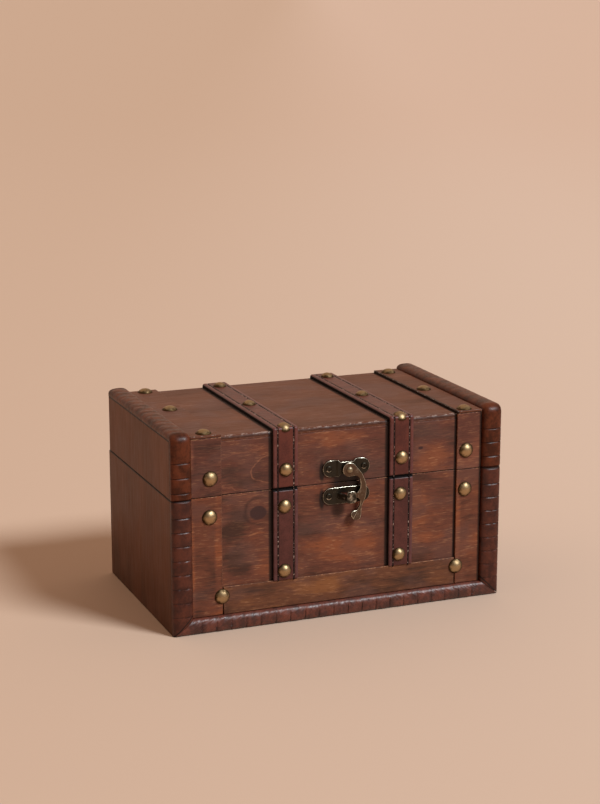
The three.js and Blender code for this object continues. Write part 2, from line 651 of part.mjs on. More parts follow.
function horn() {
  const at = ([across, up]) => new THREE.Vector2(HORN_X + across * HORN_LENGTH, HORN_Z + up * HORN_LENGTH);
  const shape = new THREE.Shape();
  shape.absarc(HORN_X, HORN_Z, HORN_EYE_RADIUS, HORN_EYE_START, HORN_EYE_END, false);
  shape.splineThru(hornInsideShares.map(at));
  shape.splineThru(hornToothShares.map(at));
  shape.splineThru(hornJawShares.map(at));
  shape.splineThru(hornTabShares.map(at));
  shape.splineThru(hornOutsideShares.map(at));
  const eye = new THREE.Path();
  eye.absarc(HORN_X, HORN_Z, RIVET_RADIUS + RIVET_CLEARANCE, 0, 2 * Math.PI, true);
  shape.holes.push(eye);
  const geometry = bare(facing(shape, HORN_BACK_Y, HORN_THICK, BEND_STEPS + 2));
  const position = geometry.attributes.position;
  const fold = HORN_Z - HORN_LENGTH * TAB_FOLD_SHARE;
  const slope = TAB_BEND / (HORN_LENGTH * (1 - TAB_FOLD_SHARE));
  for (let corner = 0; corner < position.count; corner += 1) {
    const below = Math.max(0, fold - position.getZ(corner));
    position.setY(corner, position.getY(corner) - slope * below);
  }
  return mergeVertices(geometry);
}

function catchPlate() {
  const blank = facing(plateOutline(CATCH_PLATE_Z, 2 * PLATE_EAR_RADIUS), FACE_Y, PLATE_THICK, BEND_STEPS + 2);
  const root = LATCH_SHIFT - CATCH_ROOT;
  const half = CATCH_STEM_HEIGHT / 2;
  const window = box(root, root + CATCH_WINDOW_LENGTH, PLATE_FACE_Y - OVERRUN, FACE_Y + OVERRUN,
    CATCH_PLATE_Z - half, CATCH_PLATE_Z + half);
  const headRight = LATCH_SHIFT + CATCH_REACH;
  const headLeft = headRight - CATCH_HEAD_WIDTH;
  const headBack = PLATE_FACE_Y - CATCH_STAND;
  const headFace = headBack - CATCH_THICK;
  const seat = FACE_Y - PLATE_THICK / 2;
  const stem = outline([
    [root - CATCH_THICK, seat], [headLeft, headFace], [headLeft + 2 * CATCH_THICK, headFace],
    [headLeft + CATCH_THICK, headBack], [root, seat],
  ]);
  const low = CATCH_PLATE_Z - CATCH_HEAD_HEIGHT / 2;
  const high = CATCH_PLATE_Z + CATCH_HEAD_HEIGHT / 2;
  const radius = CATCH_HEAD_RADIUS;
  const head = new THREE.Shape();
  head.absarc(headRight - radius, high - radius, radius, 0, Math.PI / 2, false);
  head.absarc(headLeft + radius, high - radius, radius, Math.PI / 2, Math.PI, false);
  head.absarc(headLeft + radius, low + radius, radius, Math.PI, Math.PI * 3 / 2, false);
  head.absarc(headRight - radius, low + radius, radius, Math.PI * 3 / 2, Math.PI * 2, false);
  const plate = join([
    cut(blank, [window]),
    standing(stem, CATCH_PLATE_Z - half, CATCH_PLATE_Z + half, 1),
    facing(head, headBack, CATCH_THICK, 2),
  ]);
  return screwed(plate, SCREW, PLATE_SCREW_X.map((x) => [x, CATCH_PLATE_Z]), PLATE_FACE_Y, false);
}

function latch() {
  add("latch_plate", latchPlate(), bronze);
  add("latch_rivet", rivet(), bronze);
  add("latch_horn", horn(), bronze);
  add("catch_plate", catchPlate(), bronze);
}

// Hinges. A leaf has side -1 below the pin, on the box, or 1 above it, on the lid.

function hingeLeaf(x, side, ownKnuckles, otherKnuckles) {
  const knuckleAt = (place) => x + place * KNUCKLE_LENGTH;
  const half = KNUCKLE_LENGTH / 2;
  const far = HINGE_Z + side * LEAF_HEIGHT;
  const [z0, z1] = [Math.min(HINGE_Z, far), Math.max(HINGE_Z, far)];
  const plate = box(x - HINGE_WIDTH / 2, x + HINGE_WIDTH / 2, BACK_Y, LEAF_FACE_Y, z0, z1);
  const knuckles = ownKnuckles.map((place) =>
    rodAlongX(KNUCKLE_RADIUS, knuckleAt(place) - half, knuckleAt(place) + half, HINGE_Y, HINGE_Z, ROD_SIDES));
  const room = KNUCKLE_RADIUS + KNUCKLE_GAP;
  const clearings = otherKnuckles.map((place) => box(
    knuckleAt(place) - half - KNUCKLE_GAP, knuckleAt(place) + half + KNUCKLE_GAP,
    BACK_Y - OVERRUN, HINGE_Y + room, HINGE_Z - room, HINGE_Z + room,
  ));
  const reach = HINGE_WIDTH / 2 + OVERRUN;
  const bore = rodAlongX(PIN_RADIUS + PIN_CLEARANCE, x - reach, x + reach, HINGE_Y, HINGE_Z, BORE_SIDES);
  const leaf = cut(join([plate, ...knuckles]), [...clearings, bore]);
  return screwed(leaf, LEAF_SCREW, leafScrewPlaces(x, side), LEAF_FACE_Y, true);
}

function hingePin(x) {
  const half = HINGE_WIDTH / 2 + RIVET_PLAY;
  const profile = [
    [0, -half - PIN_HEAD_LENGTH], [PIN_HEAD_RADIUS, -half - PIN_HEAD_LENGTH], [PIN_HEAD_RADIUS, -half],
    [PIN_RADIUS, -half], [PIN_RADIUS, half], [PIN_HEAD_RADIUS, half],
    [PIN_HEAD_RADIUS, half + PIN_HEAD_LENGTH], [0, half + PIN_HEAD_LENGTH],
  ];
  return turned(profile, ROD_SIDES).rotateZ(Math.PI / 2).translate(x, HINGE_Y, HINGE_Z);
}

function hinges() {
  [["left", -HINGE_X], ["right", HINGE_X]].forEach(([side, x]) => {
    add(`${side}_hinge_body_leaf`, hingeLeaf(x, -1, [-1, 1], [0]), bronze);
    add(`${side}_hinge_lid_leaf`, hingeLeaf(x, 1, [0], [-1, 1]), bronze);
    add(`${side}_hinge_pin`, hingePin(x), bronze);
  });
}

bodyBoards();
lidBoards();
slats();
mouldings();
straps();
nails();
latch();
hinges();

export default chest;
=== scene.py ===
# %% [markdown]
# # A small wooden keepsake chest, made to look like a sea chest
#
# The chest is about 21 cm wide: stained and lacquered boards, carved half-round mouldings at the corners,
# flat slats, two stitched leather straps, dome-headed nails and a swing-hook latch.
#
# The solid model gives every size. Here each visible piece gets rounded edges, carving, stitching and a
# finish. A solid whose form only needs softer edges is copied and eased. A solid that needs more is made
# again, in the same place, and the new piece stands for it.

# %% Frame, units and small helpers
import json
import math

import bmesh
import bpy
import numpy as np
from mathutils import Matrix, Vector, noise

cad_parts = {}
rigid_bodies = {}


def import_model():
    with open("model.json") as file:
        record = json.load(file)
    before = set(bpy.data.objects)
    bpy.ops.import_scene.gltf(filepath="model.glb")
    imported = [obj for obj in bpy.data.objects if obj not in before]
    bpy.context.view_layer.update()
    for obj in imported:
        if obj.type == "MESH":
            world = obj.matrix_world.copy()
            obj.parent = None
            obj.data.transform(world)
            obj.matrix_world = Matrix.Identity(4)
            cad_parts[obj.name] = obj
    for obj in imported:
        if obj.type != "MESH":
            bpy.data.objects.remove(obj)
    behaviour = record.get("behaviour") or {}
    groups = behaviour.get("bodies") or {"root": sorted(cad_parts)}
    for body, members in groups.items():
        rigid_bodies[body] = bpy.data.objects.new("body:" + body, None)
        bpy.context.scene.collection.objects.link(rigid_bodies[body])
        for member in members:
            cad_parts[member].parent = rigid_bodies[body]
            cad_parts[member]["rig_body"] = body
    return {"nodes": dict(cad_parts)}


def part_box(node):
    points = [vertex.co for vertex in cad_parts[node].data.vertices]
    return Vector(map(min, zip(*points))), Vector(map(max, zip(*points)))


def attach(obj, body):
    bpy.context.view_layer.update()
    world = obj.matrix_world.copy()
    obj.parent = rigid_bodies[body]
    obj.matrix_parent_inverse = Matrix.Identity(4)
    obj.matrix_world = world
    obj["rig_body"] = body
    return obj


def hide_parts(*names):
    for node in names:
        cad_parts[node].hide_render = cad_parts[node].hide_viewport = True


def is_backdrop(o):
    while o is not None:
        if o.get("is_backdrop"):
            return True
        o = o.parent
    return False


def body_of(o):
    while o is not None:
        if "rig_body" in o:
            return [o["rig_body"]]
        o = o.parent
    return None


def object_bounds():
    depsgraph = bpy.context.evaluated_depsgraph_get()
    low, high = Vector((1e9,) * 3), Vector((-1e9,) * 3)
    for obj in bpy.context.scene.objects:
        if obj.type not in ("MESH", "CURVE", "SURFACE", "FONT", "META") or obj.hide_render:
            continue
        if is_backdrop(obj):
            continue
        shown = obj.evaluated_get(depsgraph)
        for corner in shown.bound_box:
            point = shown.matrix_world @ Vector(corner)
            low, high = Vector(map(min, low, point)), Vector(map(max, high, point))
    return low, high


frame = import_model()
CAD_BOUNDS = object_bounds()
MM = 0.001
BODY_OF = {name: body_of(node)[0] for name, node in frame["nodes"].items()}
print("CAD nodes:", len(BODY_OF), "bodies:", sorted(set(BODY_OF.values())))


def box(node):
    """Lowest and highest corner of a CAD node, in millimetres."""
    low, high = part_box(node)
    return np.array(low) / MM, np.array(high) / MM


def placed(name, data):
    """A new object in the scene."""
    made = bpy.data.objects.new(name, data)
    bpy.context.scene.collection.objects.link(made)
    return made


def new_piece(name, mesh, material):
    """Puts a mesh in the scene, with one material and smooth faces between its sharp edges."""
    mesh.materials.clear()
    mesh.materials.append(material)
    mesh.shade_smooth()
    return placed(name, mesh)


def stands_for(piece, nodes):
    """Rides the piece on the body of the solids that it stands for, and hides those solids."""
    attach(piece, BODY_OF[nodes[0]])
    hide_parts(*nodes)
    return piece


def mesh_from(name, points, faces=(), edges=()):
    """A mesh from points in millimetres."""
    mesh = bpy.data.meshes.new(name)
    mesh.from_pydata([tuple(c * MM for c in point) for point in points], list(edges), list(faces))
    mesh.update()
    return mesh


def give(mesh, name, values):
    """Gives each point of a mesh its own number or vector, under a name that the node trees can read."""
    values = np.array(values, np.float32)
    vector = values.ndim == 2
    layer = mesh.attributes.new(name, "FLOAT_VECTOR" if vector else "FLOAT", "POINT")
    layer.data.foreach_set("vector" if vector else "value", values.ravel())


def mend(mesh, merge=0.0, close=False):
    """Merges points nearer than merge (millimetres), closes the ends if asked, and turns faces outwards."""
    shape = bmesh.new()
    shape.from_mesh(mesh)
    if merge:
        bmesh.ops.remove_doubles(shape, verts=shape.verts, dist=merge * MM)
    if close:
        bmesh.ops.holes_fill(shape, edges=shape.edges, sides=0)
    bmesh.ops.recalc_face_normals(shape, faces=shape.faces)
    shape.to_mesh(mesh)
    shape.free()


# %% [markdown]
# ## The camera
#
# The photograph was taken from the chest's front left, a little above it. The place and lens were worked
# out from the chest's own corners, so the render's frame can be laid over the photograph.

# %% Camera
EYE = Vector((-411.22, -1023.07, 377.72)) * MM
LOOK = Vector((0.3619, 0.90334, -0.23022))
LENS = 82.63
camera_data = bpy.data.cameras.new("photo_camera")
camera_data.lens = LENS
camera_data.sensor_width = 36
camera_data.clip_start = 0.01
camera_data.clip_end = 200
camera = placed("photo_camera", camera_data)
camera.location = EYE
camera.rotation_euler = LOOK.to_track_quat("-Z", "Y").to_euler()
bpy.context.scene.camera = camera
bpy.context.scene.view_settings.view_transform = "Standard"
print("camera:", round(EYE.length, 2), "m from the chest's foot, lens", LENS, "mm")


# %% [markdown]
# ## Colours and node trees
#
# Colours are written as the hex values that a picture shows. A shader wants linear light, so one function
# turns one into the other. Another adds a node, sets it up and links it, which keeps the trees readable.
# The nodes that come most often, the sums above all, have a short name in a table, and take their inputs in
# turn.

# %% Colours
def colour(code):
    """A hex value such as 6b3f2c as linear red, green, blue and alpha."""
    channels = [int(code[place:place + 2], 16) / 255 for place in (0, 2, 4)]
    return (*(c / 12.92 if c <= 0.04045 else ((c + 0.055) / 1.055) ** 2.4 for c in channels), 1.0)


# %% One function for every node
# Short name: the node, its inputs in turn, its output and its settings
SHORT = {
    "between": ("ShaderNodeMapRange", ("Value", "From Min", "From Max", "To Min", "To Max"), "Result",
                {"interpolation_type": "SMOOTHSTEP"}),
    "blend": ("ShaderNodeMix", ("Factor", "A", "B"), "Result", {"data_type": "RGBA"}),
    "attribute": ("ShaderNodeAttribute", (), "Fac", {}),
    "stored": ("GeometryNodeInputNamedAttribute", ("Name",), "Attribute", {"data_type": "FLOAT_VECTOR"}),
    "sample": ("GeometryNodeSampleIndex", ("Geometry", "Value", "Index"), "Value",
               {"data_type": "FLOAT_VECTOR"}),
    "VECTOR_SCALE": ("ShaderNodeVectorMath", (0, "Scale"), "Vector", {"operation": "SCALE"}),
}
for operation in ("ADD", "SUBTRACT", "MULTIPLY", "DIVIDE", "MAXIMUM", "ABSOLUTE", "FLOOR", "ROUND",
                  "GREATER_THAN", "LESS_THAN"):
    SHORT[operation] = ("ShaderNodeMath", (0, 1), "Value", {"operation": operation})
for operation, out in (("ADD", "Vector"), ("SUBTRACT", "Vector"), ("MULTIPLY", "Vector"), ("LENGTH", "Value"),
                       ("DOT_PRODUCT", "Value")):
    SHORT["VECTOR_" + operation] = ("ShaderNodeVectorMath", (0, 1), out, {"operation": operation})


def add(tree, kind, sockets=(), out=None, **settings):
    """Adds a node, applies its settings, fills its inputs, and gives one of its outputs or the node itself.

    The inputs are a dict by name or number, or a list in turn where the kind is one of SHORT's names.
    """
    kind, inputs, usual_out, usual = SHORT.get(kind, (kind, (), None, {}))
    node = tree.nodes.new(kind)
    for name, value in {**usual, **settings}.items():
        setattr(node, name, value)
    for key, value in (sockets if isinstance(sockets, dict) else dict(zip(inputs, sockets))).items():
        found = node.inputs[key] if isinstance(key, int) else next(
            s for s in node.inputs if s.name == key and s.enabled)
        if isinstance(value, bpy.types.NodeSocket):
            tree.links.new(value, found)
        else:
            found.default_value = value
    out = out or usual_out
    return node if out is None else next(s for s in node.outputs if s.name == out and s.enabled)


# %% What the materials share
def new_material(name):
    """A material with nodes, its tree and its shader."""
    material = bpy.data.materials.new(name)
    material.use_nodes = True
    return material, material.node_tree, material.node_tree.nodes["Principled BSDF"]


def millimetres(tree):
    """The piece's own place in millimetres."""
    return add(tree, "VECTOR_SCALE", [add(tree, "ShaderNodeTexCoord", out="Object"), 1 / MM])


def noisy(tree, place, stretch, detail=2.0, roughness=0.5):
    """Noise whose grains are stretch = (x, y, z) millimetres long, at a place in millimetres."""
    scaled = add(tree, "VECTOR_MULTIPLY", [place, tuple(1 / s for s in stretch)])
    return add(tree, "ShaderNodeTexNoise", {"Vector": scaled, "Scale": 1.0, "Detail": detail,
                                            "Roughness": roughness}, "Fac")


def layered(tree, base, *layers):
    """Colours laid one over another. Each layer is (share, hex value). The base may be a hex value too."""
    base = colour(base) if isinstance(base, str) else base
    for share, code in layers:
        base = add(tree, "blend", [share, base, colour(code)])
    return base


def weighed(tree, *patterns):
    """Patterns added up, each times its weight."""
    total = 0.0
    for pattern, weight in patterns:
        total = add(tree, "ADD", [total, add(tree, "MULTIPLY", [pattern, weight])])
    return total


def dress(tree, shader, patterns, plain, relief=None):
    """Links patterns to the shader's sockets, and sets there what is the same all over the surface.

    The relief is (pattern of heights, strength, depth in millimetres).
    """
    if relief:
        heights, strength, depth = relief
        patterns["Normal"] = add(tree, "ShaderNodeBump", {"Strength": strength, "Distance": depth * MM,
                                                          "Height": heights}, "Normal")
    for name, pattern in patterns.items():
        tree.links.new(pattern, shader.inputs[name])
    for name, value in plain.items():
        shader.inputs[name].default_value = value


print("short names for nodes:", len(SHORT))


# %% [markdown]
# ## Light and floor
#
# The chest stands on seamless peach-coloured paper. One softbox stands to the right of the camera, well
# above the chest. Its shadow falls to the left and rear, with a soft edge about 18 degrees wide. A lamp
# with a place would light the far floor less, so a sun lamp of that width stands for it. Warm light comes
# back from the paper above and behind, and little from the dark room round the camera, so the world's fill
# light fades towards the front, and metal sees that room as dark too.

# %% Lamp
KEY_FROM = Vector((0.435, -0.588, 0.682))
KEY_STRENGTH, KEY_COLOUR, KEY_WIDTH = 3.1, (0.88, 0.95, 1.0), math.radians(18)
key_data = bpy.data.lights.new("softbox", "SUN")
key_data.energy, key_data.color, key_data.angle = KEY_STRENGTH, KEY_COLOUR, KEY_WIDTH
key = placed("softbox", key_data)
key.rotation_euler = (-KEY_FROM).to_track_quat("-Z", "Y").to_euler()
print("lamp strength:", KEY_STRENGTH)

# %% World
FILL_COLOUR, FILL_FROM = (0.47, 0.335, 0.25, 1), (-0.15, 0.88, 0.45)
PAPER_COLOUR, PAPER_FROM = colour("dabea8"), (-0.1, 0.97, 0.15)
ROOM_FILL, PAPER_FILL, ROOM_IN_METAL = 0.03, 1.3, 0.12
world = bpy.data.worlds.new("studio")
bpy.context.scene.world = world
world.use_nodes = True
sky = world.node_tree
sky.nodes.clear()
rays = add(sky, "ShaderNodeLightPath").outputs
towards = add(sky, "ShaderNodeTexCoord", out="Generated")
lit_side = add(sky, "VECTOR_DOT_PRODUCT", [towards, FILL_FROM])
fill_level = add(sky, "between", [lit_side, -0.55, 0.6, ROOM_FILL, PAPER_FILL])
fill = add(sky, "ShaderNodeBackground", {"Color": FILL_COLOUR, "Strength": fill_level}, "Background")
behind = add(sky, "VECTOR_DOT_PRODUCT", [towards, PAPER_FROM])
mirrored = add(sky, "between", [behind, -0.3, 0.6, ROOM_IN_METAL, 1.0])
paper_level = add(sky, "MAXIMUM", [rays["Is Camera Ray"], mirrored])
paper = add(sky, "ShaderNodeBackground", {"Color": PAPER_COLOUR, "Strength": paper_level}, "Background")
seen = add(sky, "MAXIMUM", [rays["Is Camera Ray"], rays["Is Glossy Ray"]])
shown = add(sky, "ShaderNodeMixShader", {0: seen, 1: fill, 2: paper}, "Shader")
add(sky, "ShaderNodeOutputWorld", {"Surface": shown})
print("world:", len(sky.nodes), "nodes")

# %% Floor
FLOOR_REACH = 30
# Painted light falloff: the paper is darker to the left and a little darker far away
FLOOR_NEAR, FLOOR_FAR = ("ceb099", "dac1ae"), ("cbac94", "d7b9a4")
FLOOR_SIDEWAYS = (0.928, -0.372, 0)
floor_mesh = bpy.data.meshes.new("floor")
corners = [(x * FLOOR_REACH, y * FLOOR_REACH, 0) for x, y in ((-1, -1), (1, -1), (1, 1), (-1, 1))]
floor_mesh.from_pydata(corners, [], [(0, 1, 2, 3)])
floor_material, tree, shader = new_material("backdrop_paper")
at = add(tree, "ShaderNodeTexCoord", out="Object")
painted_falloff = add(tree, "between", [add(tree, "VECTOR_DOT_PRODUCT", [at, FLOOR_SIDEWAYS]), -0.4, 0.45])
near, far = (layered(tree, left, (painted_falloff, right)) for left, right in (FLOOR_NEAR, FLOOR_FAR))
away = add(tree, "between", [add(tree, "VECTOR_LENGTH", [at]), 0.3, 4.0])
dress(tree, shader, {"Base Color": add(tree, "blend", [away, near, far])},
      {"Roughness": 0.9, "Specular IOR Level": 0.15})
floor = new_piece("floor", floor_mesh, floor_material)
floor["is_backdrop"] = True
print("floor:", 2 * FLOOR_REACH, "m square")


# %% [markdown]
# ## Stained and lacquered wood
#
# The boards are thin plywood with a pine-like face, brushed with red-brown stain and sealed with satin
# lacquer. The stain takes unevenly, so the eye sees wide dark and orange patches, long growth lines, and
# short light and dark flecks where the brush and the pores ran. Where an edge was rubbed, the pale wood
# shows through. Growth lines are about 1.3 mm apart, and flecks about 0.5 mm thick and 5 mm long. A knot is
# darker and has a thin arc along one side. A photograph of wood could be laid on, but noise in real
# millimetres stays sharp however close the camera comes, and its knots and patches are placed by number.

# %% Wood material
# How long the grains of each pattern are, in millimetres
GROWTH_LINE, FLECK, BRUSH_STROKE = (28, 1.3, 1.3), (5.5, 0.5, 0.5), (11, 2.6, 2.6)
KNOT_EDGE, SHEEN_PATCH, RUBBED_DOT = (8, 8, 5), (22, 22, 14), (2.6, 1.6, 1.6)
SWAY_LENGTH, SWAY = 30, 4
# A spot on the front goes deep enough to reach through the whole chest
SPOT_Y, SPOT_DEPTH = -60, 900


def reach_of(tree, place, x, z, across, up):
    """How far a place is from a spot at x and z, where 1 is the rim of an oval of those half sizes."""
    centred = add(tree, "VECTOR_SUBTRACT", [place, (x, SPOT_Y, z)])
    scaled = add(tree, "VECTOR_MULTIPLY", [centred, (1 / across, 1 / SPOT_DEPTH, 1 / up)])
    return add(tree, "VECTOR_LENGTH", [scaled])


FRONT_Y = max(box(node)[0][1] for node in ("body_front_panel", "lid_front_panel"))
TOP_Z, END_X = box("lid_top_panel")[1][2], box("body_right_panel")[1][0]
SKIN = 1.2


def stained_wood(name, dark, middle, light, turn=(0, 0, 0), shift=(0, 0, 0), knots=(), patches=(), painted_shadows=(),
                 blotch=(26, 12, 12), blotches=1.0, flecks=1.0, streaks=1.0, painted_sheen=0.45, gloss=0.42, coat=0.06,
                 specular=0.3, rub_and_sheen_colour="b07a55"):
    """Stained wood whose grain runs along X before the pattern is turned and shifted (millimetres).

    A knot is (x, z, half width, half height, darkness, rim). Its rim is a thin arc on its left side, pale
    or, below zero, dark. A patch is (x, z, half width, half height, how much lighter or, below zero, darker).
    A painted shadow, only on the outside, is (x, z, half width, half height, share).
    """
    material, tree, shader = new_material(name)
    real = millimetres(tree)
    split = add(tree, "ShaderNodeSeparateXYZ", {"Vector": real}).outputs
    grain = add(tree, "ShaderNodeMapping", {"Vector": real, "Location": shift, "Rotation": turn}, "Vector")
    sway = add(tree, "ShaderNodeTexNoise", {"Vector": grain, "Scale": 1 / SWAY_LENGTH, "Detail": 2.0},
               "Color")
    sway = add(tree, "VECTOR_SUBTRACT", [sway, (0.5, 0.5, 0.5)])
    sway = add(tree, "VECTOR_MULTIPLY", [sway, (0, SWAY, SWAY)])
    grain = add(tree, "VECTOR_ADD", [grain, sway])

    # Knots, each with an arc on its left side
    hearts, arcs = 0.0, {"pale": 0.0, "dark": 0.0}
    ragged = add(tree, "MULTIPLY", [noisy(tree, real, KNOT_EDGE, 2.0), 0.4])
    for x, z, across, up, darkness, rim in knots:
        reach = reach_of(tree, real, x, z, across, up)
        reach = add(tree, "ADD", [reach, add(tree, "SUBTRACT", [ragged, 0.2])])
        heart = add(tree, "MULTIPLY", [add(tree, "between", [reach, 1.08, 0.88]), darkness])
        hearts = add(tree, "MAXIMUM", [hearts, heart])
        thin = 0.45 / up if rim > 0 else 1.6 / up
        arc = add(tree, "MULTIPLY", [add(tree, "between", [reach, 1 - thin, 1.0]),
                                     add(tree, "between", [reach, 1 + thin, 1.0])])
        left = add(tree, "between", [split["X"], x + across * 0.5, x - 2])
        kind = "pale" if rim > 0 else "dark"
        arc = add(tree, "MULTIPLY", [add(tree, "MULTIPLY", [arc, left]), abs(rim)])
        arcs[kind] = add(tree, "MAXIMUM", [arcs[kind], arc])

    # The stain's blotches and long streaks, a cool haze of painted sheen, then short flecks where the stain is
    # light
    lines = noisy(tree, grain, GROWTH_LINE, 4.0, 0.6)
    stain = noisy(tree, grain, blotch, 3.0, 0.5)
    tone = add(tree, "between", [stain, 0.5 - 0.26 / blotches, 0.5 + 0.26 / blotches])
    tone = add(tree, "ADD", [tone, add(tree, "MULTIPLY", [add(tree, "SUBTRACT", [lines, 0.5]), streaks])])
    for x, z, across, up, amount in patches:
        reach = reach_of(tree, real, x, z, across, up)
        reach = add(tree, "ADD", [reach, add(tree, "SUBTRACT", [ragged, 0.25])])
        patch = add(tree, "MULTIPLY", [add(tree, "between", [reach, 1.25, 0.35]), amount])
        tone = add(tree, "ADD", [tone, patch])
    sheen_share = add(tree, "between", [noisy(tree, real, SHEEN_PATCH, 2.0, 0.5), 0.46, 0.66, 0.0, painted_sheen])
    brush = noisy(tree, grain, BRUSH_STROKE, 2.0, 0.6)
    fleck = noisy(tree, grain, FLECK, 2.0, 0.55)
    bright = add(tree, "MULTIPLY", [add(tree, "between", [fleck, 0.52, 0.66]),
                                    add(tree, "between", [brush, 0.42, 0.58])])
    bright = add(tree, "MULTIPLY", [bright, add(tree, "between", [tone, 0.1, 0.9, 0.25, 1.0])])
    pore = add(tree, "MULTIPLY", [add(tree, "between", [fleck, 0.46, 0.32]),
                                  add(tree, "between", [brush, 0.58, 0.4])])
    wood = layered(tree, dark, (add(tree, "between", [tone, -0.1, 0.5]), middle),
                   (add(tree, "between", [tone, 0.5, 1.1]), light), (sheen_share, "65443b"),
                   (add(tree, "MULTIPLY", [bright, 0.52 * flecks]), rub_and_sheen_colour),
                   (add(tree, "MULTIPLY", [pore, 0.45 * flecks]), "2e140e"))
    if knots:
        pale = add(tree, "MULTIPLY", [arcs["pale"], add(tree, "between", [brush, 0.3, 0.5])])
        wood = layered(tree, wood, (hearts, "3a2322"), (arcs["dark"], "35201c"), (pale, "a5694a"))

    # Painted shadows stay in the skin of the chest's outside, so that an open lid shows clean boards
    if painted_shadows:
        sideways = add(tree, "ABSOLUTE", [split["X"]])
        skin = add(tree, "MAXIMUM", [add(tree, "between", [split["Y"], FRONT_Y + SKIN, FRONT_Y + SKIN / 2]),
                                     add(tree, "between", [split["Z"], TOP_Z - SKIN, TOP_Z - SKIN / 2])])
        skin = add(tree, "MAXIMUM", [skin, add(tree, "between", [sideways, END_X - SKIN, END_X - SKIN / 2])])
    # Each painted shadow lays near-black colour on the wood
    for x, z, across, up, share in painted_shadows:
        soft = add(tree, "between", [reach_of(tree, real, x, z, across, up), 1.15, 0.55, 0.0, share])
        wood = layered(tree, wood, (add(tree, "MULTIPLY", [soft, skin]), "180a07"))

    # Pale rub dots on edges (grey ones on the top are a painted highlight); painted shade on edges facing down
    worn = add(tree, "attribute", attribute_name="worn")
    spotty = add(tree, "between", [noisy(tree, real, RUBBED_DOT, 3.0, 0.7), 0.5, 0.6])
    rub_and_sheen = add(tree, "MULTIPLY", [add(tree, "MULTIPLY", [worn, spotty]), 0.9])
    painted_shade = add(tree, "attribute", attribute_name="painted_shade")
    wood = layered(tree, wood, (rub_and_sheen, rub_and_sheen_colour), (add(tree, "MULTIPLY", [painted_shade, 0.85]), "1c0d09"))
    uneven = add(tree, "between", [lines, 0.3, 0.7, gloss + 0.07, gloss - 0.05])
    dress(tree, shader, {"Base Color": wood, "Roughness": uneven},
          {"Specular IOR Level": specular, "Coat Weight": coat, "Coat Roughness": 0.3},
          relief=(weighed(tree, (lines, 0.6), (fleck, 0.4)), 0.6, 0.12))
    return material


# %% Knots, patches and painted shadows
UPRIGHT = (0, math.radians(90), 0)
BODY_KNOTS = ((-51.5, 68.2, 5.4, 4.2, 0.85, 0.0), (-49.5, 69, 10.5, 8.5, 0.0, -0.55))
BODY_PATCHES = ((-66, 58, 10, 16, -0.65), (-64, 38, 9, 12, -0.3), (-50, 46, 10, 14, 0.1),
                (-20, 62, 16, 12, -0.35), (0, 41, 24, 11, 0.5), (58, 51, 15, 12, 0.5),
                (52, 66, 14, 9, 0.2), (50, 32, 12, 6, -0.1))
LID_KNOTS = ((-43, 93.5, 12.0, 8.2, 0.25, 0.45), (-40, 94, 44.0, 13.0, 0.0, 0.3),
             (52.6, 97.0, 1.6, 0.9, 0.9, 0.0))
LID_PATCHES = ((-60, 98, 16, 14, -0.15), (-8, 108, 26, 6, 0.3), (18, 88, 20, 7, -0.15), (57, 93, 15, 9, 0.55),
               (55, 108, 16, 5, -0.3))
BASE_PATCHES = ((-58, 17, 20, 8, -0.1), (-14, 18, 18, 6, 0.5), (48, 18, 28, 8, -0.2))
BODY_SLAT_PATCHES = ((-85, 50, 14, 40, -0.25), (-93, 40, 2.5, 44, 0.45), (-76.5, 50, 2.5, 34, 0.4),
                     (85, 50, 14, 40, 0.12), (77, 50, 2.6, 34, 0.5))
LID_SLAT_PATCHES = ((-85, 97, 14, 20, -0.25), (-93, 106, 2.5, 12, 0.7), (85, 97, 14, 20, 0.35),
                    (87, 87, 9, 7, 0.4))
# Painted shadows where shadows fall: left of each strap, both sides of the right slat, and round the latch
STRAP_PAINTED_SHADOWS = [(box(f"body_{side}_strap")[0][0] - 0.3, 90, 2.2, 300, 0.9) for side in ("left", "right")]
slat_low, slat_high = box("body_right_slat")
FRONT_PAINTED_SHADOWS = [*STRAP_PAINTED_SHADOWS, (slat_low[0] - 0.2, 90, 1.5, 300, 0.9)]
SLAT_PAINTED_SHADOWS = [(slat_high[0] + 0.3, 90, 2.0, 300, 0.85)]
BODY_PAINTED_SHADOWS = ((4.5, 80, 12, 4.5, 0.9), (-8.5, 71, 8.3, 6.6, 0.4), (-11.3, 72, 1.9, 7, 0.95),
                (-1, 65, 5, 6, 0.6), *FRONT_PAINTED_SHADOWS)
LID_PAINTED_SHADOWS = ((4.5, 83, 12, 4.5, 0.9), (-8.5, 88, 8.3, 6.2, 0.4), (-11.3, 89, 1.9, 7, 0.95), *FRONT_PAINTED_SHADOWS)
# Painted shade along the seam between lid and box and along the top edge of the lid's end boards
END_PAINTED_SHADE = [(0, box(node)[1][2], 900, 0.9, 0.85) for node in ("body_left_panel", "lid_left_panel")]
# Painted light and shade on the end boards: lighter high on the lid, darker near the floor
END_PAINTED_LIGHT = ((-105, 104, 300, 24, 0.2), (-105, 2, 300, 30, -0.3))
print("knots:", len(BODY_KNOTS) + len(LID_KNOTS), "smudges:", len(BODY_PAINTED_SHADOWS) + len(LID_PAINTED_SHADOWS))

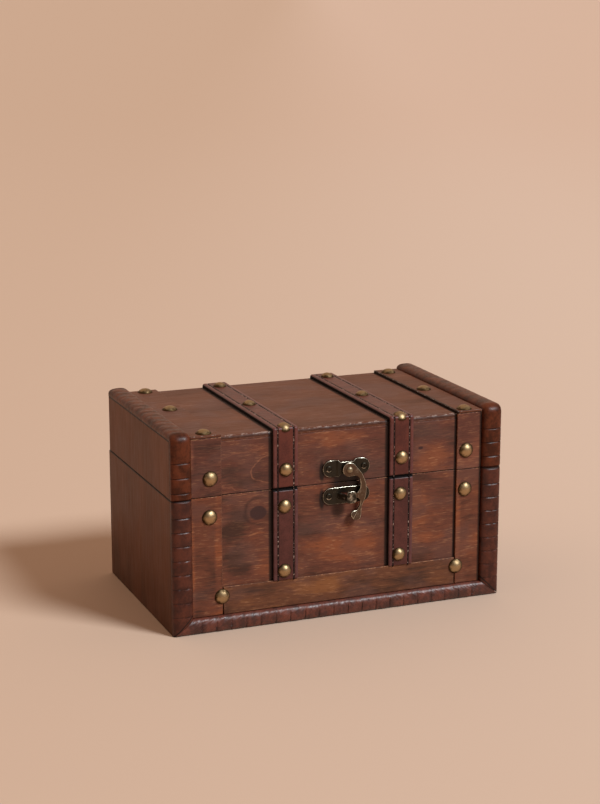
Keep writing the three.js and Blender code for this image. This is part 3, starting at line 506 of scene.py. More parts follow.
# %% Wood finishes
woods = {
    "body_front": stained_wood("stained_pine_body_front", "45291f", "67392a", "874a2e", knots=BODY_KNOTS,
                               patches=BODY_PATCHES, painted_shadows=BODY_PAINTED_SHADOWS, blotches=0.8),
    "lid_front": stained_wood("stained_pine_lid_front", "4a2d24", "66392c", "824930", shift=(50, 7, 31),
                              knots=LID_KNOTS, patches=LID_PATCHES, painted_shadows=LID_PAINTED_SHADOWS, blotches=0.8),
    "body_slat": stained_wood("stained_slat_body", "43261c", "6b3a28", "8a4a2c", shift=(15, 3, 70),
                              patches=BODY_SLAT_PATCHES, painted_shadows=SLAT_PAINTED_SHADOWS, blotches=0.8),
    "lid_slat": stained_wood("stained_slat_lid", "44271f", "61362a", "7c4734", shift=(88, 3, 12),
                             patches=LID_SLAT_PATCHES, painted_shadows=SLAT_PAINTED_SHADOWS, blotches=0.6),
    "base_slat": stained_wood("stained_slat_base", "42271b", "683d28", "86522f", shift=(130, 9, 44),
                              patches=BASE_PATCHES, blotches=0.8),
    # The top's grey rub colour is, on its nose and slat edges, partly a painted highlight
    "top": stained_wood("stained_board_top", "502b1b", "653926", "74442f", shift=(20, 60, 5), flecks=0.4,
                        streaks=0.5, blotches=0.7, blotch=(50, 24, 24), gloss=0.52, coat=0.0, specular=0.2,
                        painted_shadows=FRONT_PAINTED_SHADOWS, rub_and_sheen_colour="a08a80"),
    "end": stained_wood("stained_board_end", "4b2a19", "5e3520", "6c3e26", shift=(4, 80, 12), turn=UPRIGHT,
                        patches=END_PAINTED_LIGHT, painted_shadows=END_PAINTED_SHADE, flecks=0.08, streaks=0.15, blotches=0.6,
                        blotch=(60, 18, 18), painted_sheen=0.2, gloss=0.5, coat=0.0, specular=0.2),
    "back": stained_wood("stained_board_back", "43261b", "5d3526", "6f412c", shift=(9, 150, 77), flecks=0.6),
    "inside": stained_wood("stained_board_inside", "4a2c1e", "68402c", "7a4c37", shift=(77, 20, 3),
                           flecks=0.6, gloss=0.6, coat=0.0),
}
print("wood finishes:", len(woods))


# %% [markdown]
# ## Boards and slats
#
# Real boards have no knife-sharp edges: sanding and handling round them by a few tenths of a millimetre,
# and that small round is what catches the light. A board could be drawn anew, but its solid has the true
# shape, so each is a copy of its solid, with its loose triangles merged and its long edges bevelled. The
# bevels are marked, so that the finish can show pale wood on the edges that hands rub, and painted shade
# on the edges that face down.

# %% Boards and slats
MERGE, SHARP_EDGE = 0.004, math.radians(40)
# How worn a rounded edge is that faces up, sideways and down: on boards, and on the metal's front
BOARD_WEAR, FRONT_WEAR = (1.0, 0.5, 0.0), (1.0, 0.6, 0.4)
BROAD = 15
PLATE_Y, PROUD = 61, 22


def eased(node, width, material, least_edge=4.0, segments=3, wear=1.0, front=False, keep_off=()):
    """A piece like a CAD node, whose edges longer than least_edge are rounded by width (millimetres).

    The rounded edges are marked worn by the way they face, and those of boards that face down get painted
    shade too. With front, only the rims of faces that look forwards are rounded, all are worn, and so is what
    stands in front of PLATE_Y, wholly where it stands PROUD of it. Edges near a spot of keep_off, which is (x,
    z, radius), stay sharp, and lower faces close to its middle are marked worn, a painted glint. Faces broader
    than BROAD square millimetres stay flat.
    """
    shape = bmesh.new()
    shape.from_mesh(frame["nodes"][node].data)
    bmesh.ops.remove_doubles(shape, verts=shape.verts, dist=MERGE * MM)
    bmesh.ops.dissolve_limit(shape, angle_limit=math.radians(0.5), verts=shape.verts, edges=shape.edges)
    worn, painted_shade = shape.faces.layers.float.new("worn"), shape.faces.layers.float.new("painted_shade")
    edges = [e for e in shape.edges if e.is_manifold and e.calc_length() > least_edge * MM
             and e.calc_face_angle() > SHARP_EDGE]
    if front:
        facing = {e: sorted(face.normal.y for face in e.link_faces) for e in edges}
        edges = [e for e in edges if facing[e][0] < -0.7 and facing[e][1] > -0.25]
    for x, z, radius in keep_off:
        edges = [e for e in edges
                 if all(math.hypot(v.co.x / MM - x, v.co.z / MM - z) > radius for v in e.verts)]
    made = bmesh.ops.bevel(shape, geom=edges, offset=width * MM, offset_type="OFFSET", segments=segments,
                           profile=0.5, affect="EDGES", clamp_overlap=not front)
    if front:
        for face in shape.faces:
            middle = face.calc_center_median() / MM
            face[worn] = min(1.0, max(0.0, -middle.y - PLATE_Y) / PROUD)
            # Lower faces near a kept spot are made bright: a painted glint at each latch screw and the hook's
            # tab
            near = any(math.hypot(middle.x - x, middle.z - z) < 2 for x, z, radius in keep_off)
            if near and face.normal.z < -0.2:
                face[worn] = 1.0
    faces_up, faces_sideways, faces_down = FRONT_WEAR if front else BOARD_WEAR
    for face in made["faces"]:
        up = face.normal.z
        face[worn] = wear * (faces_up if up > 0.2 else faces_sideways if up > -0.1 else faces_down)
        # Painted shade on board edges that face down
        face[painted_shade] = 1.0 if up < -0.2 and not front else 0.0
    mesh = bpy.data.meshes.new(node + "_eased")
    shape.to_mesh(mesh)
    flat_rims = [e.index for e in shape.edges if any(f.calc_area() > BROAD * MM ** 2 for f in e.link_faces)]
    shape.free()
    piece = new_piece(node + "_eased", mesh, material)
    mesh.set_sharp_from_angle(angle=math.radians(32))
    for index in flat_rims:
        mesh.edges[index].use_edge_sharp = True
    return piece


# Node: how wide its edges are rounded, its wood, and how worn they are
BOARDS = {
    "body_front_panel": (0.2, "body_front", 1), "body_left_panel": (0.4, "end", 0),
    "body_right_panel": (0.4, "end", 0), "body_back_panel": (0.3, "back", 0.3),
    "body_floor": (0.2, "inside", 0), "lid_front_panel": (0.35, "lid_front", 0.3),
    "lid_left_panel": (0.4, "end", 0), "lid_right_panel": (0.4, "end", 0),
    "lid_back_panel": (0.3, "back", 0.3),
    "body_left_slat": (0.25, "body_slat", 1), "body_right_slat": (0.25, "body_slat", 1),
    "body_base_slat": (0.25, "base_slat", 1),
    "lid_left_front_slat": (0.3, "lid_slat", 1), "lid_right_front_slat": (0.3, "lid_slat", 1),
    "lid_left_top_slat": (0.3, "top", 1), "lid_right_top_slat": (0.3, "top", 1),
}
for node, (width, wood, wear) in BOARDS.items():
    stands_for(eased(node, width, woods[wood], wear=wear), [node])
print("boards and slats:", len(BOARDS))


# %% [markdown]
# ## The lid's top board
#
# The top board's front edge shows between the slats: plywood, rounded by sanding and chipped by use. A
# bevel would be too even. So its section is drawn in Y and Z with many points round the nose, and carried
# along the chest. Noise then pushes the nose's points in, so the arris gets small chips, and marks the
# chips and the arris as worn: their grey is part wear, part a painted highlight of the glossy nose. A band
# across the middle of the edge gets painted shade.

# %% Top board
def top_board(nose=1.6, chips=0.45, spacing=0.8):
    """The top board as its own mesh, with a chipped front edge."""
    low, high = box("lid_top_panel")
    section = [(high[1], high[2]), (high[1], low[2]), (low[1] + 0.15, low[2]), (low[1], low[2] + 0.15)]
    section += [(low[1], z) for z in np.linspace(low[2] + 0.5, high[2] - nose, 4)]
    section += [(low[1] + nose * (1 - math.cos(a)), high[2] - nose * (1 - math.sin(a)))
                for a in np.linspace(0.15, math.pi / 2, 8)]
    section += [(y, high[2]) for y in (low[1] + nose + 1, low[1] + nose + 4, low[1] + nose + 12)]
    columns = np.linspace(low[0], high[0], round((high[0] - low[0]) / spacing) + 1)
    vertices, wear, shade_band = [], [], []
    for x in columns:
        for y, z in section:
            point = Vector((x, y, z))
            near = max(0.0, 1 - abs(y - low[1] - 0.6) / 2.0) if y < low[1] + 3 else 0.0
            rough = noise.noise(Vector((x / 2.2, y / 1.2, z / 1.2 + 9)))
            rough += 0.6 * noise.noise(Vector((x / 0.9, 3, z)))
            chip = chips * near * max(0.0, rough)
            inward = Vector((0, 1, -1 if z > high[2] - nose else -0.2)).normalized()
            vertices.append(point + inward * chip)
            # The arris's pale marks are part wear, part a painted highlight on the glossy nose
            rub_and_sheen = 1.2 if z > high[2] - 0.5 else 0.15
            wear.append(min(1.0, near * rub_and_sheen + chip * 1.5 * (z > high[2] - 1.2)))
            # A band across the middle of the front edge gets painted shade
            in_plies = 1.0 if low[2] + 0.9 < z < high[2] - 0.7 else 0.0
            shade_band.append(near * in_plies * min(1, 0.75 + rough * 0.3))
    count = len(section)
    faces = [(i * count + j, i * count + (j + 1) % count, (i + 1) * count + (j + 1) % count,
              (i + 1) * count + j) for i in range(len(columns) - 1) for j in range(count)]
    faces += [tuple(range(count)), tuple(reversed(range((len(columns) - 1) * count, len(columns) * count)))]
    mesh = mesh_from("lid_top_board", vertices, faces)
    give(mesh, "worn", wear)
    give(mesh, "painted_shade", shade_band)
    mend(mesh)
    piece = new_piece("lid_top_board", mesh, woods["top"])
    mesh.set_sharp_from_angle(angle=math.radians(50))
    return piece


piece = stands_for(top_board(), ["lid_top_panel"])
print("top board faces:", len(piece.data.polygons))


# %% [markdown]
# ## Carved mouldings
#
# Half-round strips of wood, cut across at a steady pitch and dipped in dark glossy lacquer. One runs up
# each front corner, one along the foot, and one over each end of the lid. They could be modelled by hand,
# but they follow a rule: a section carried along a path, lowered where a cut crosses it. Geometry Nodes
# says that rule. The path is a line of points that carry how far the moulding stands out and how far along
# they are. The tree lays a grid on it, lowers the grid at the cuts, and leaves the ends open for mitres.

# %% Geometry Nodes: a band along a path
BAND_INPUTS = (
    ("Path", "Geometry"), ("Section", "Object"), ("Steps", "Int"), ("Section points", "Int"),
    ("Across", "Vector"), ("Run", "Vector"), ("Start cut", "Float"), ("End cut", "Float"),
    ("Unevenness", "Float"), ("Seed", "Float"), ("Material", "Material"),
    *((f"{name} {number}", "Float") for number in (1, 2, 3)
      for name in ("Pitch", "First", "Start", "End", "Width", "Depth", "Slant", "Fade")),
)


def new_tree(name, inputs, output):
    """A tree with named inputs and one output, and what its inputs give."""
    tree = bpy.data.node_groups.new(name, "GeometryNodeTree")
    for label, kind in inputs:
        tree.interface.new_socket(label, in_out="INPUT", socket_type="NodeSocket" + kind)
    tree.interface.new_socket(output, in_out="OUTPUT", socket_type="NodeSocketGeometry")
    return tree, add(tree, "NodeGroupInput").outputs


def end_tree(tree, geometry, material, output):
    """Ends a tree: its instances become plain faces, which the export needs, and all gets one material."""
    made = add(tree, "GeometryNodeRealizeInstances", {"Geometry": geometry}, "Geometry")
    made = add(tree, "GeometryNodeSetMaterial", {"Geometry": made, "Material": material}, "Geometry")
    add(tree, "NodeGroupOutput", {output: made})
    return tree


# Noise cells in each metre: the cuts wander every 11 mm or so, and hand-cut lumps are about 4 mm long
WANDER_SCALE, LUMP_SCALE = 90.0, 260.0


def band_tree():
    """The tree that makes a band: a section carried along a path and cut across at a pitch."""
    tree, given = new_tree("Band along a path", BAND_INPUTS, "Band")

    # A grid of points, with Steps of them along the path and Section points across it
    grid = add(tree, "GeometryNodeMeshGrid", {"Size X": 1.0, "Size Y": 1.0, "Vertices X": given["Steps"],
                                              "Vertices Y": given["Section points"]}, "Mesh")
    index = add(tree, "GeometryNodeInputIndex", out="Index")
    step = add(tree, "FLOOR", [add(tree, "DIVIDE", [index, given["Section points"]])])
    point = add(tree, "SUBTRACT", [index, add(tree, "MULTIPLY", [step, given["Section points"]])])

    # What the path and the section say about each point
    section = add(tree, "GeometryNodeObjectInfo", {"Object": given["Section"]}, "Geometry")
    position = add(tree, "GeometryNodeInputPosition", out="Position")
    profile = add(tree, "sample", [section, position, point])
    profile = add(tree, "ShaderNodeSeparateXYZ", {"Vector": profile}).outputs
    across, height = profile["X"], profile["Z"]
    back = add(tree, "sample", [given["Path"], position, step])
    rise = add(tree, "sample", [given["Path"], add(tree, "stored", ["rise"]), step])
    along = add(tree, "stored", ["along"], data_type="FLOAT")
    along = add(tree, "sample", [given["Path"], along, step], data_type="FLOAT")

    # Slanted ends, for mitres
    share = add(tree, "DIVIDE", [step, add(tree, "SUBTRACT", [given["Steps"], 1.0])])
    near = add(tree, "MULTIPLY", [given["Start cut"], add(tree, "SUBTRACT", [1.0, share])])
    slide = add(tree, "SUBTRACT", [near, add(tree, "MULTIPLY", [given["End cut"], share])])
    slide = add(tree, "MULTIPLY", [slide, across])
    place = add(tree, "ADD", [along, slide])

    # Cuts across the band: how much each lowers this point
    wander = add(tree, "ShaderNodeTexNoise",
                 {"Vector": back, "W": given["Seed"], "Scale": WANDER_SCALE, "Detail": 1.0}, "Fac",
                 noise_dimensions="4D")
    wander = add(tree, "MULTIPLY", [add(tree, "SUBTRACT", [wander, 0.5]), 0.8])
    lowered = 0.0
    for number in (1, 2, 3):
        pitch, width = given[f"Pitch {number}"], given[f"Width {number}"]
        slant = add(tree, "MULTIPLY", [given[f"Slant {number}"], add(tree, "SUBTRACT", [across, 0.5])])
        here = add(tree, "ADD", [add(tree, "ADD", [place, slant]), add(tree, "MULTIPLY", [wander, width])])
        turn = add(tree, "DIVIDE", [add(tree, "SUBTRACT", [here, given[f"First {number}"]]), pitch])
        off = add(tree, "ABSOLUTE", [add(tree, "SUBTRACT", [turn, add(tree, "ROUND", [turn])])])
        off = add(tree, "DIVIDE", [add(tree, "MULTIPLY", [off, pitch]), add(tree, "MULTIPLY", [width, 0.5])])
        notch = add(tree, "between", [off, 0.0, 1.0, 1.0, 0.0])
        depth = add(tree, "MULTIPLY", [notch, given[f"Depth {number}"]])
        started = add(tree, "GREATER_THAN", [place, given[f"Start {number}"]])
        inside = add(tree, "MULTIPLY", [started, add(tree, "LESS_THAN", [place, given[f"End {number}"]])])
        fade = given[f"Fade {number}"]
        kept = add(tree, "between", [across, fade, add(tree, "SUBTRACT", [fade, 0.2])])
        depth = add(tree, "MULTIPLY", [depth, kept])
        lowered = add(tree, "ADD", [lowered, add(tree, "MULTIPLY", [depth, inside])])

    # Hand-cut unevenness, then the point's own place
    aside = add(tree, "VECTOR_SCALE", [given["Across"], across])
    lumps = add(tree, "ShaderNodeTexNoise",
                {"Vector": add(tree, "VECTOR_ADD", [back, aside]), "W": given["Seed"], "Scale": LUMP_SCALE,
                 "Detail": 2.0}, "Fac", noise_dimensions="4D")
    lumps = add(tree, "MULTIPLY", [add(tree, "SUBTRACT", [lumps, 0.5]), given["Unevenness"]])
    length = add(tree, "VECTOR_LENGTH", [rise])
    less = add(tree, "DIVIDE", [add(tree, "SUBTRACT", [lowered, lumps]), length])
    standing = add(tree, "SUBTRACT", [1.0, less])
    out = add(tree, "VECTOR_SCALE", [rise, add(tree, "MULTIPLY", [height, standing])])
    aslant = add(tree, "VECTOR_ADD", [aside, add(tree, "VECTOR_SCALE", [given["Run"], slide])])
    final = add(tree, "VECTOR_ADD", [add(tree, "VECTOR_ADD", [back, out]), aslant])
    made = add(tree, "GeometryNodeSetPosition", {"Geometry": grid, "Position": final}, "Geometry")
    for name, value in (("cut", less), ("side", across), ("out", height)):
        made = add(tree, "GeometryNodeStoreNamedAttribute", {"Geometry": made, "Name": name, "Value": value},
                   "Geometry", data_type="FLOAT", domain="POINT")
    return end_tree(tree, made, given["Material"], "Band")


BAND = band_tree()
print("band tree:", len(BAND.nodes), "nodes")


# %% Running a tree, and lines to run it on
def run_tree(piece, tree, values):
    """Runs a tree on the piece, with its inputs set by name, and keeps the result as a plain mesh."""
    modifier = piece.modifiers.new(tree.name, "NODES")
    modifier.node_group = tree
    for item in tree.interface.items_tree:
        if item.in_out == "INPUT" and item.name in values:
            modifier[item.identifier] = values[item.name]
    bpy.context.view_layer.update()
    evaluated = piece.evaluated_get(bpy.context.evaluated_depsgraph_get())
    mesh = bpy.data.meshes.new_from_object(evaluated)
    piece.modifiers.clear()
    piece.data = mesh
    return mesh


def line_object(name, points, scale=MM, **attributes):
    """A line of points, each with its attributes. Lengths are in millimetres unless scale says otherwise."""
    mesh = bpy.data.meshes.new(name)
    edges = [(i, i + 1) for i in range(len(points) - 1)]
    mesh.from_pydata([tuple(c * scale for c in point) for point in points], edges, [])
    for key, values in attributes.items():
        give(mesh, key, np.array(values, np.float32) * scale)
    return placed(name, mesh)


# A cut is (pitch, first, start, end, width, depth, slant, fade); ONCE is a pitch longer than any band
CUT_NAMES = ("Pitch", "First", "Start", "End", "Width", "Depth", "Slant")
ONCE, ALL_ACROSS = 1000, 2
NO_CUT = (1, 0, 0, 0, 1, 0, 0, ALL_ACROSS)


def closed_band(name, stations, section, across, material, run=(0, 0, 0), start_cut=0.0, end_cut=0.0,
                unevenness=0.0, seed=0.0, cuts=(), crease_angle=40):
    """A band along stations of (back point, crest point), with its ends closed. Sizes are in millimetres.

    Up to three rows of cuts are measured along the crest. A cut is made only up to the share fade of the way
    across.
    """
    backs = np.array([back for back, crest in stations], float)
    crests = np.array([crest for back, crest in stations], float)
    along = np.concatenate([[0], np.cumsum(np.linalg.norm(np.diff(crests, axis=0), axis=1))])
    piece = line_object(name, backs, rise=crests - backs, along=along)
    profile = line_object(name + "_section", [(a, 0, h) for a, h in section], scale=1)
    values = {
        "Section": profile, "Steps": len(stations), "Section points": len(section), "Material": material,
        "Across": tuple(c * MM for c in across), "Run": tuple(float(c) for c in run), "Seed": float(seed),
        "Start cut": start_cut * MM, "End cut": end_cut * MM, "Unevenness": unevenness * MM,
    }
    for number, cut in enumerate([*cuts, NO_CUT, NO_CUT, NO_CUT][:3], start=1):
        for key, value in zip(CUT_NAMES, cut):
            values[f"{key} {number}"] = value * MM
        values[f"Fade {number}"] = float(cut[7])
    mesh = run_tree(piece, BAND, values)
    bpy.data.objects.remove(profile)
    mend(mesh, merge=0.002, close=True)
    mesh.shade_smooth()
    mesh.set_sharp_from_angle(angle=math.radians(crease_angle))
    return piece


# %% Paths, and the section of the mouldings
def straight(back_a, crest_a, back_b, crest_b, spacing=0.4):
    """Stations about every spacing along a straight run."""
    count = max(2, round(math.dist(crest_a, crest_b) / spacing) + 1)
    ends = [np.array(point, float) for point in (back_a, crest_a, back_b, crest_b)]
    return [(ends[0] + (ends[2] - ends[0]) * t, ends[1] + (ends[3] - ends[1]) * t)
            for t in np.linspace(0, 1, count)]


def rounded_end(place, length, depth):
    """A cut that rounds a band's end at this distance along it."""
    return (ONCE, place, -1, ONCE, length, depth, 0, ALL_ACROSS)


def round_corner(corner, seat, centre, radius, start, end, count=24):
    """Stations round an outside corner in the plane of Y and Z. start and end are the outward directions."""
    corner, centre, start, end = (np.array(v, float) for v in (corner, centre, start, end))
    made = []
    for t in np.linspace(0, 1, count + 1):
        before, after = seat * max(0, 1 - 2 * t), seat * max(0, 2 * t - 1)
        angle = math.pi / 2 * t
        made.append((corner - end * before - start * after,
                     centre + radius * (math.cos(angle) * start + math.sin(angle) * end)))
    return made


def in_depth(stations, x):
    """Stations given in Y and Z, placed at x."""
    return [((x, *back), (x, *crest)) for back, crest in stations]


def domed_section(power=2.6, start=0.3, count=26):
    """The mouldings' section: a low side wall, then a squarish half round. It closes on itself."""
    def squared(value):
        return math.copysign(abs(value) ** (2 / power), value)
    dome = [((1 - squared(math.cos(a))) / 2, start + (1 - start) * squared(math.sin(a)))
            for a in np.linspace(0, math.pi, count)]
    return [(0, 0), (0, start / 2), *dome, (1, start / 2), (1, 0), (0.5, 0), (0, 0)]


# %% [markdown]
# ## Dark lacquer on the mouldings
#
# The mouldings are pine as well, stained darker and flooded with gloss lacquer. It is the shiniest finish on
# the chest, with soft streaks of light along each crest. The cuts are painted nearly black, as shade, and so
# is the foot of each side, where the moulding meets the board. The dark could be more noise, but the band
# says how deep each point was cut, so the dark follows the carving.

# %% Lacquer material
HALF_WIDTH, FOOT_HEIGHT = box("body_base_moulding")[1][0], box("body_base_moulding")[1][2]
LACQUER_CLOUD, LACQUER_DIMPLE = (7, 7, 9), (1.6, 1.6, 1.6)


def dark_lacquer(name, dark, light, shift=(0, 0, 0), relief=0.25, rough=0.34, specular=0.3):
    """Glossy red-brown lacquer over carved wood. The band's own cut attribute paints shade into the cuts."""
    material, tree, shader = new_material(name)
    real = millimetres(tree)
    split = add(tree, "ShaderNodeSeparateXYZ", {0: real}).outputs
    sideways = add(tree, "ADD", [add(tree, "ABSOLUTE", [split["X"]]), split["Z"]])
    off_mitre = add(tree, "ABSOLUTE", [add(tree, "SUBTRACT", [sideways, HALF_WIDTH])])
    mitre = add(tree, "between", [off_mitre, 0.6, 0.3])
    real = add(tree, "VECTOR_ADD", [real, shift])
    cloudy = noisy(tree, real, LACQUER_CLOUD, 3.0, 0.6)
    fine = noisy(tree, real, LACQUER_DIMPLE, 2.0, 0.6)
    tone = weighed(tree, (cloudy, 0.75), (fine, 0.25))
    # Painted shade at the foot of the sides and in the cuts; the mitre line is a dark joint
    out = add(tree, "attribute", attribute_name="out")
    joint_and_shade = add(tree, "MAXIMUM", [add(tree, "between", [out, 0.16, 0.04, 0.0, 0.85]), mitre])
    cut = add(tree, "attribute", attribute_name="cut")
    wood = layered(tree, dark, (add(tree, "between", [tone, 0.36, 0.64]), light), (joint_and_shade, "140705"),
                   (add(tree, "between", [cut, 0.04, 0.11, 0.0, 0.8]), "1c0b08"))
    uneven = add(tree, "between", [fine, 0.3, 0.7, rough, rough + 0.16])
    dress(tree, shader, {"Base Color": wood, "Roughness": uneven},
          {"Specular IOR Level": specular, "Coat Weight": 0.06, "Coat Roughness": 0.25},
          relief=(weighed(tree, (cloudy, 1.0), (fine, 0.25)), 0.5, relief))
    return material


lacquers = {
    "upright": dark_lacquer("lacquered_moulding_upright", "3a1810", "58291a"),
    "foot": dark_lacquer("lacquered_moulding_foot", "431d14", "6d3322", shift=(40, 0, 11), relief=0.6,
                         rough=0.4, specular=0.6),
    "lid": dark_lacquer("lacquered_moulding_lid", "401d0f", "64301b", shift=(11, 7, 60), specular=0.14),
}
print("lacquers:", len(lacquers))


# %% Mouldings
MOULDING_SECTION = domed_section()
CORNER_RADIUS, CORNER_SEAT = 6, 1
END_ROUND, END_DEPTH = 2.2, 0.9
UPRIGHT_PITCH, CUT_WIDTH, CUT_DEPTH = 8.5, 1.3, 0.5
UNDER_SEAM, UNCUT_TOP, UNCUT_BEND = 1.6, 3, 6
LID_PITCH, LID_FIRST = 8.7, {"left": 4.3, "right": 6.7}
RIPPLE_PITCH, RIPPLE_WIDTH, RIPPLE_SLANT, RIPPLE = 8.5, 7.5, 4.0, {"left": 0.16, "right": 0.05}
FOOT_PITCH, FOOT_WIDTH, FOOT_DEPTH, FOOT_FADE = 9.2, 1.0, 0.55, 0.8
low, high = box("body_left_moulding")
FOOT_Z, FACE_Y, CREST_Y, SEAM_Z, MOULDING_WIDTH = low[2], high[1], low[1], high[2], high[0] - low[0]
lid_low, lid_high = box("lid_left_moulding")
CROWN_Z, LID_Z, BACK_Y = lid_high[2], lid_low[2], lid_high[1]

for side, hand in (("left", -1), ("right", 1)):
    x, across = hand * HALF_WIDTH, (-hand * MOULDING_WIDTH, 0, 0)
    upright = straight((x, FACE_Y, FOOT_Z), (x, CREST_Y, FOOT_Z),
                       (x, FACE_Y, SEAM_Z), (x, CREST_Y, SEAM_Z), 0.3)
    first = (SEAM_Z - UNDER_SEAM - FOOT_Z) % UPRIGHT_PITCH
    last = SEAM_Z - FOOT_Z - UNCUT_TOP
    cuts = [(UPRIGHT_PITCH, first, FOOT_HEIGHT, last, CUT_WIDTH, CUT_DEPTH, 0, ALL_ACROSS),
            rounded_end(SEAM_Z - FOOT_Z, END_ROUND, END_DEPTH)]
    piece = closed_band(f"body_{side}_moulding_carved", upright, MOULDING_SECTION, across,
                        lacquers["upright"], run=(0, 0, 1), start_cut=FOOT_HEIGHT, unevenness=0.35,
                        seed=3 + hand, cuts=cuts)
    stands_for(piece, [f"body_{side}_moulding"])

    centre = (CREST_Y + CORNER_RADIUS, CROWN_Z - CORNER_RADIUS)
    over = straight((FACE_Y, LID_Z), (CREST_Y, LID_Z), (FACE_Y, centre[1]), (CREST_Y, centre[1]), 0.3)
    over += round_corner((FACE_Y, TOP_Z), CORNER_SEAT, centre, CORNER_RADIUS, (-1, 0), (0, 1))
    over += straight((centre[0] + 0.4, TOP_Z), (centre[0] + 0.4, CROWN_Z), (BACK_Y, TOP_Z), (BACK_Y, CROWN_Z))
    rise = centre[1] - LID_Z
    bend_end = rise + CORNER_RADIUS * math.pi / 2
    cuts = [(LID_PITCH, LID_FIRST[side], 0, rise - UNCUT_BEND, CUT_WIDTH, CUT_DEPTH, 0, ALL_ACROSS),
            (RIPPLE_PITCH, bend_end, bend_end, ONCE, RIPPLE_WIDTH, RIPPLE[side], RIPPLE_SLANT, ALL_ACROSS),
            rounded_end(0, END_ROUND, END_DEPTH)]
    piece = closed_band(f"lid_{side}_moulding_carved", in_depth(over, x), MOULDING_SECTION, across,
                        lacquers["lid"], unevenness=0.35, seed=7 + hand, cuts=cuts)
    stands_for(piece, [f"lid_{side}_moulding"])

foot = straight((-HALF_WIDTH, FACE_Y, 0), (-HALF_WIDTH, CREST_Y, 0),
                (HALF_WIDTH, FACE_Y, 0), (HALF_WIDTH, CREST_Y, 0), 0.3)
cuts = [(FOOT_PITCH, MOULDING_WIDTH + FOOT_PITCH / 2, MOULDING_WIDTH, 2 * HALF_WIDTH - MOULDING_WIDTH,
         FOOT_WIDTH, FOOT_DEPTH, 0, FOOT_FADE)]
piece = closed_band("body_foot_moulding_carved", foot, MOULDING_SECTION, (0, 0, FOOT_HEIGHT),
                    lacquers["foot"], run=(1, 0, 0), start_cut=MOULDING_WIDTH, end_cut=MOULDING_WIDTH,
                    unevenness=1.2, seed=11, cuts=cuts)
stands_for(piece, ["body_base_moulding"])
print("mouldings: 5, foot moulding faces:", len(piece.data.polygons))


# %% [markdown]
# ## Stitched leather straps
#
# Each strap is a strip of maroon leather about 16 mm wide, its edges folded and glued, and a row of dark
# thread run down each side. The thread pulls the leather into a shallow groove. Stitches painted on would
# look flat from the side, so groove and thread are shaped. The same band tree makes the strap: the section
# carries the grooves. The stitches are one small capsule, instanced along the grooves at a pitch. The
# leather's pebbles, 0.75 mm across, are a little coarser than real ones, so that they show.

# %% Leather and thread
STITCH_ROW = 4.95
STRAP_WIDTH = box("body_left_strap")[1][0] - box("body_left_strap")[0][0]
PEBBLE, HIDE_CLOUD, RUBBED_SPOT, GLINT_SPOT = ((size, size, size) for size in (0.75, 8, 5, 1.4))


def worn_leather(name, dark, light, edge):
    """Pebbled maroon leather: lighter hems (rub and painted sheen), painted shade on rows, dark cut sides and
    ends.
    """
    material, tree, shader = new_material(name)
    real = millimetres(tree)
    cloudy = noisy(tree, real, HIDE_CLOUD, 3.0, 0.6)
    pebble = noisy(tree, real, PEBBLE, 2.0, 0.5)
    tone = weighed(tree, (cloudy, 0.6), (pebble, 0.4))
    side = add(tree, "attribute", attribute_name="side")
    off = add(tree, "ABSOLUTE", [add(tree, "SUBTRACT", [side, 0.5])])
    # Hems lighter and more violet in patches: part rubbed leather, part painted sheen
    hem = add(tree, "between", [off, 0.33, 0.42])
    patchy = add(tree, "between", [noisy(tree, real, RUBBED_SPOT, 3.0, 0.7), 0.35, 0.6, 0.4, 1.0])
    rub_and_sheen = add(tree, "MULTIPLY", [add(tree, "MULTIPLY", [hem, patchy]), 0.3])
    # Painted shade along each row of stitches
    row = add(tree, "ABSOLUTE", [add(tree, "SUBTRACT", [off, STITCH_ROW / STRAP_WIDTH])])
    out = add(tree, "attribute", attribute_name="out")
    cut = add(tree, "attribute", attribute_name="cut")
    # Near-black cut sides and ends: the dark cut edge, and painted shade in the gaps by the straps
    end_edge_and_shade = add(tree, "between", [cut, 0.05, 0.16])
    cut_edge_and_shade = add(tree, "MAXIMUM", [add(tree, "between", [out, 0.78, 0.6]), end_edge_and_shade])
    hide = layered(tree, dark, (add(tree, "between", [tone, 0.36, 0.66]), light), (rub_and_sheen, edge),
                   (add(tree, "between", [row, 0.05, 0.02, 0.0, 0.9]), "1a0a09"), (cut_edge_and_shade, "0e0505"))
    glazed = add(tree, "MAXIMUM", [add(tree, "between", [pebble, 0.3, 0.7, 0.38, 0.5]), cut_edge_and_shade])
    dress(tree, shader, {"Base Color": hide, "Roughness": glazed}, {"Specular IOR Level": 0.35},
          relief=(tone, 0.55, 0.18))
    return material


def waxed_thread():
    """Dark waxed thread, with pale spots painted on here and there as highlights."""
    material, tree, shader = new_material("waxed_linen_thread")
    glint_spots = noisy(tree, millimetres(tree), GLINT_SPOT, 2.0, 0.6)
    thread_and_glints = layered(tree, "140807", (add(tree, "between", [glint_spots, 0.55, 0.63]), "b89888"))
    dress(tree, shader, {"Base Color": thread_and_glints}, {"Roughness": 0.6, "Specular IOR Level": 0.2})
    return material


leathers = {"box": worn_leather("glazed_maroon_leather_box", "47211c", "5c2e27", "7c5456"),
            "lid": worn_leather("glazed_maroon_leather_lid", "4f221b", "663024", "805454")}
thread = waxed_thread()
print("strap width:", round(STRAP_WIDTH, 2), "mm, rows of stitches", 2 * STITCH_ROW, "mm apart")


# %% Straps
STITCH_GROOVE, GROOVE_WIDTH = 0.3, 0.9
EDGE_ROUND, EDGE_SHARE = 1.4, 0.6
STRAP_END_ROUND, STRAP_END_DEPTH = 2.6, 1.3
STRAP_BEND, STRAP_SEAT, REAR_HEM = 1.8, 1, 6
STITCH_SINK = 0.14


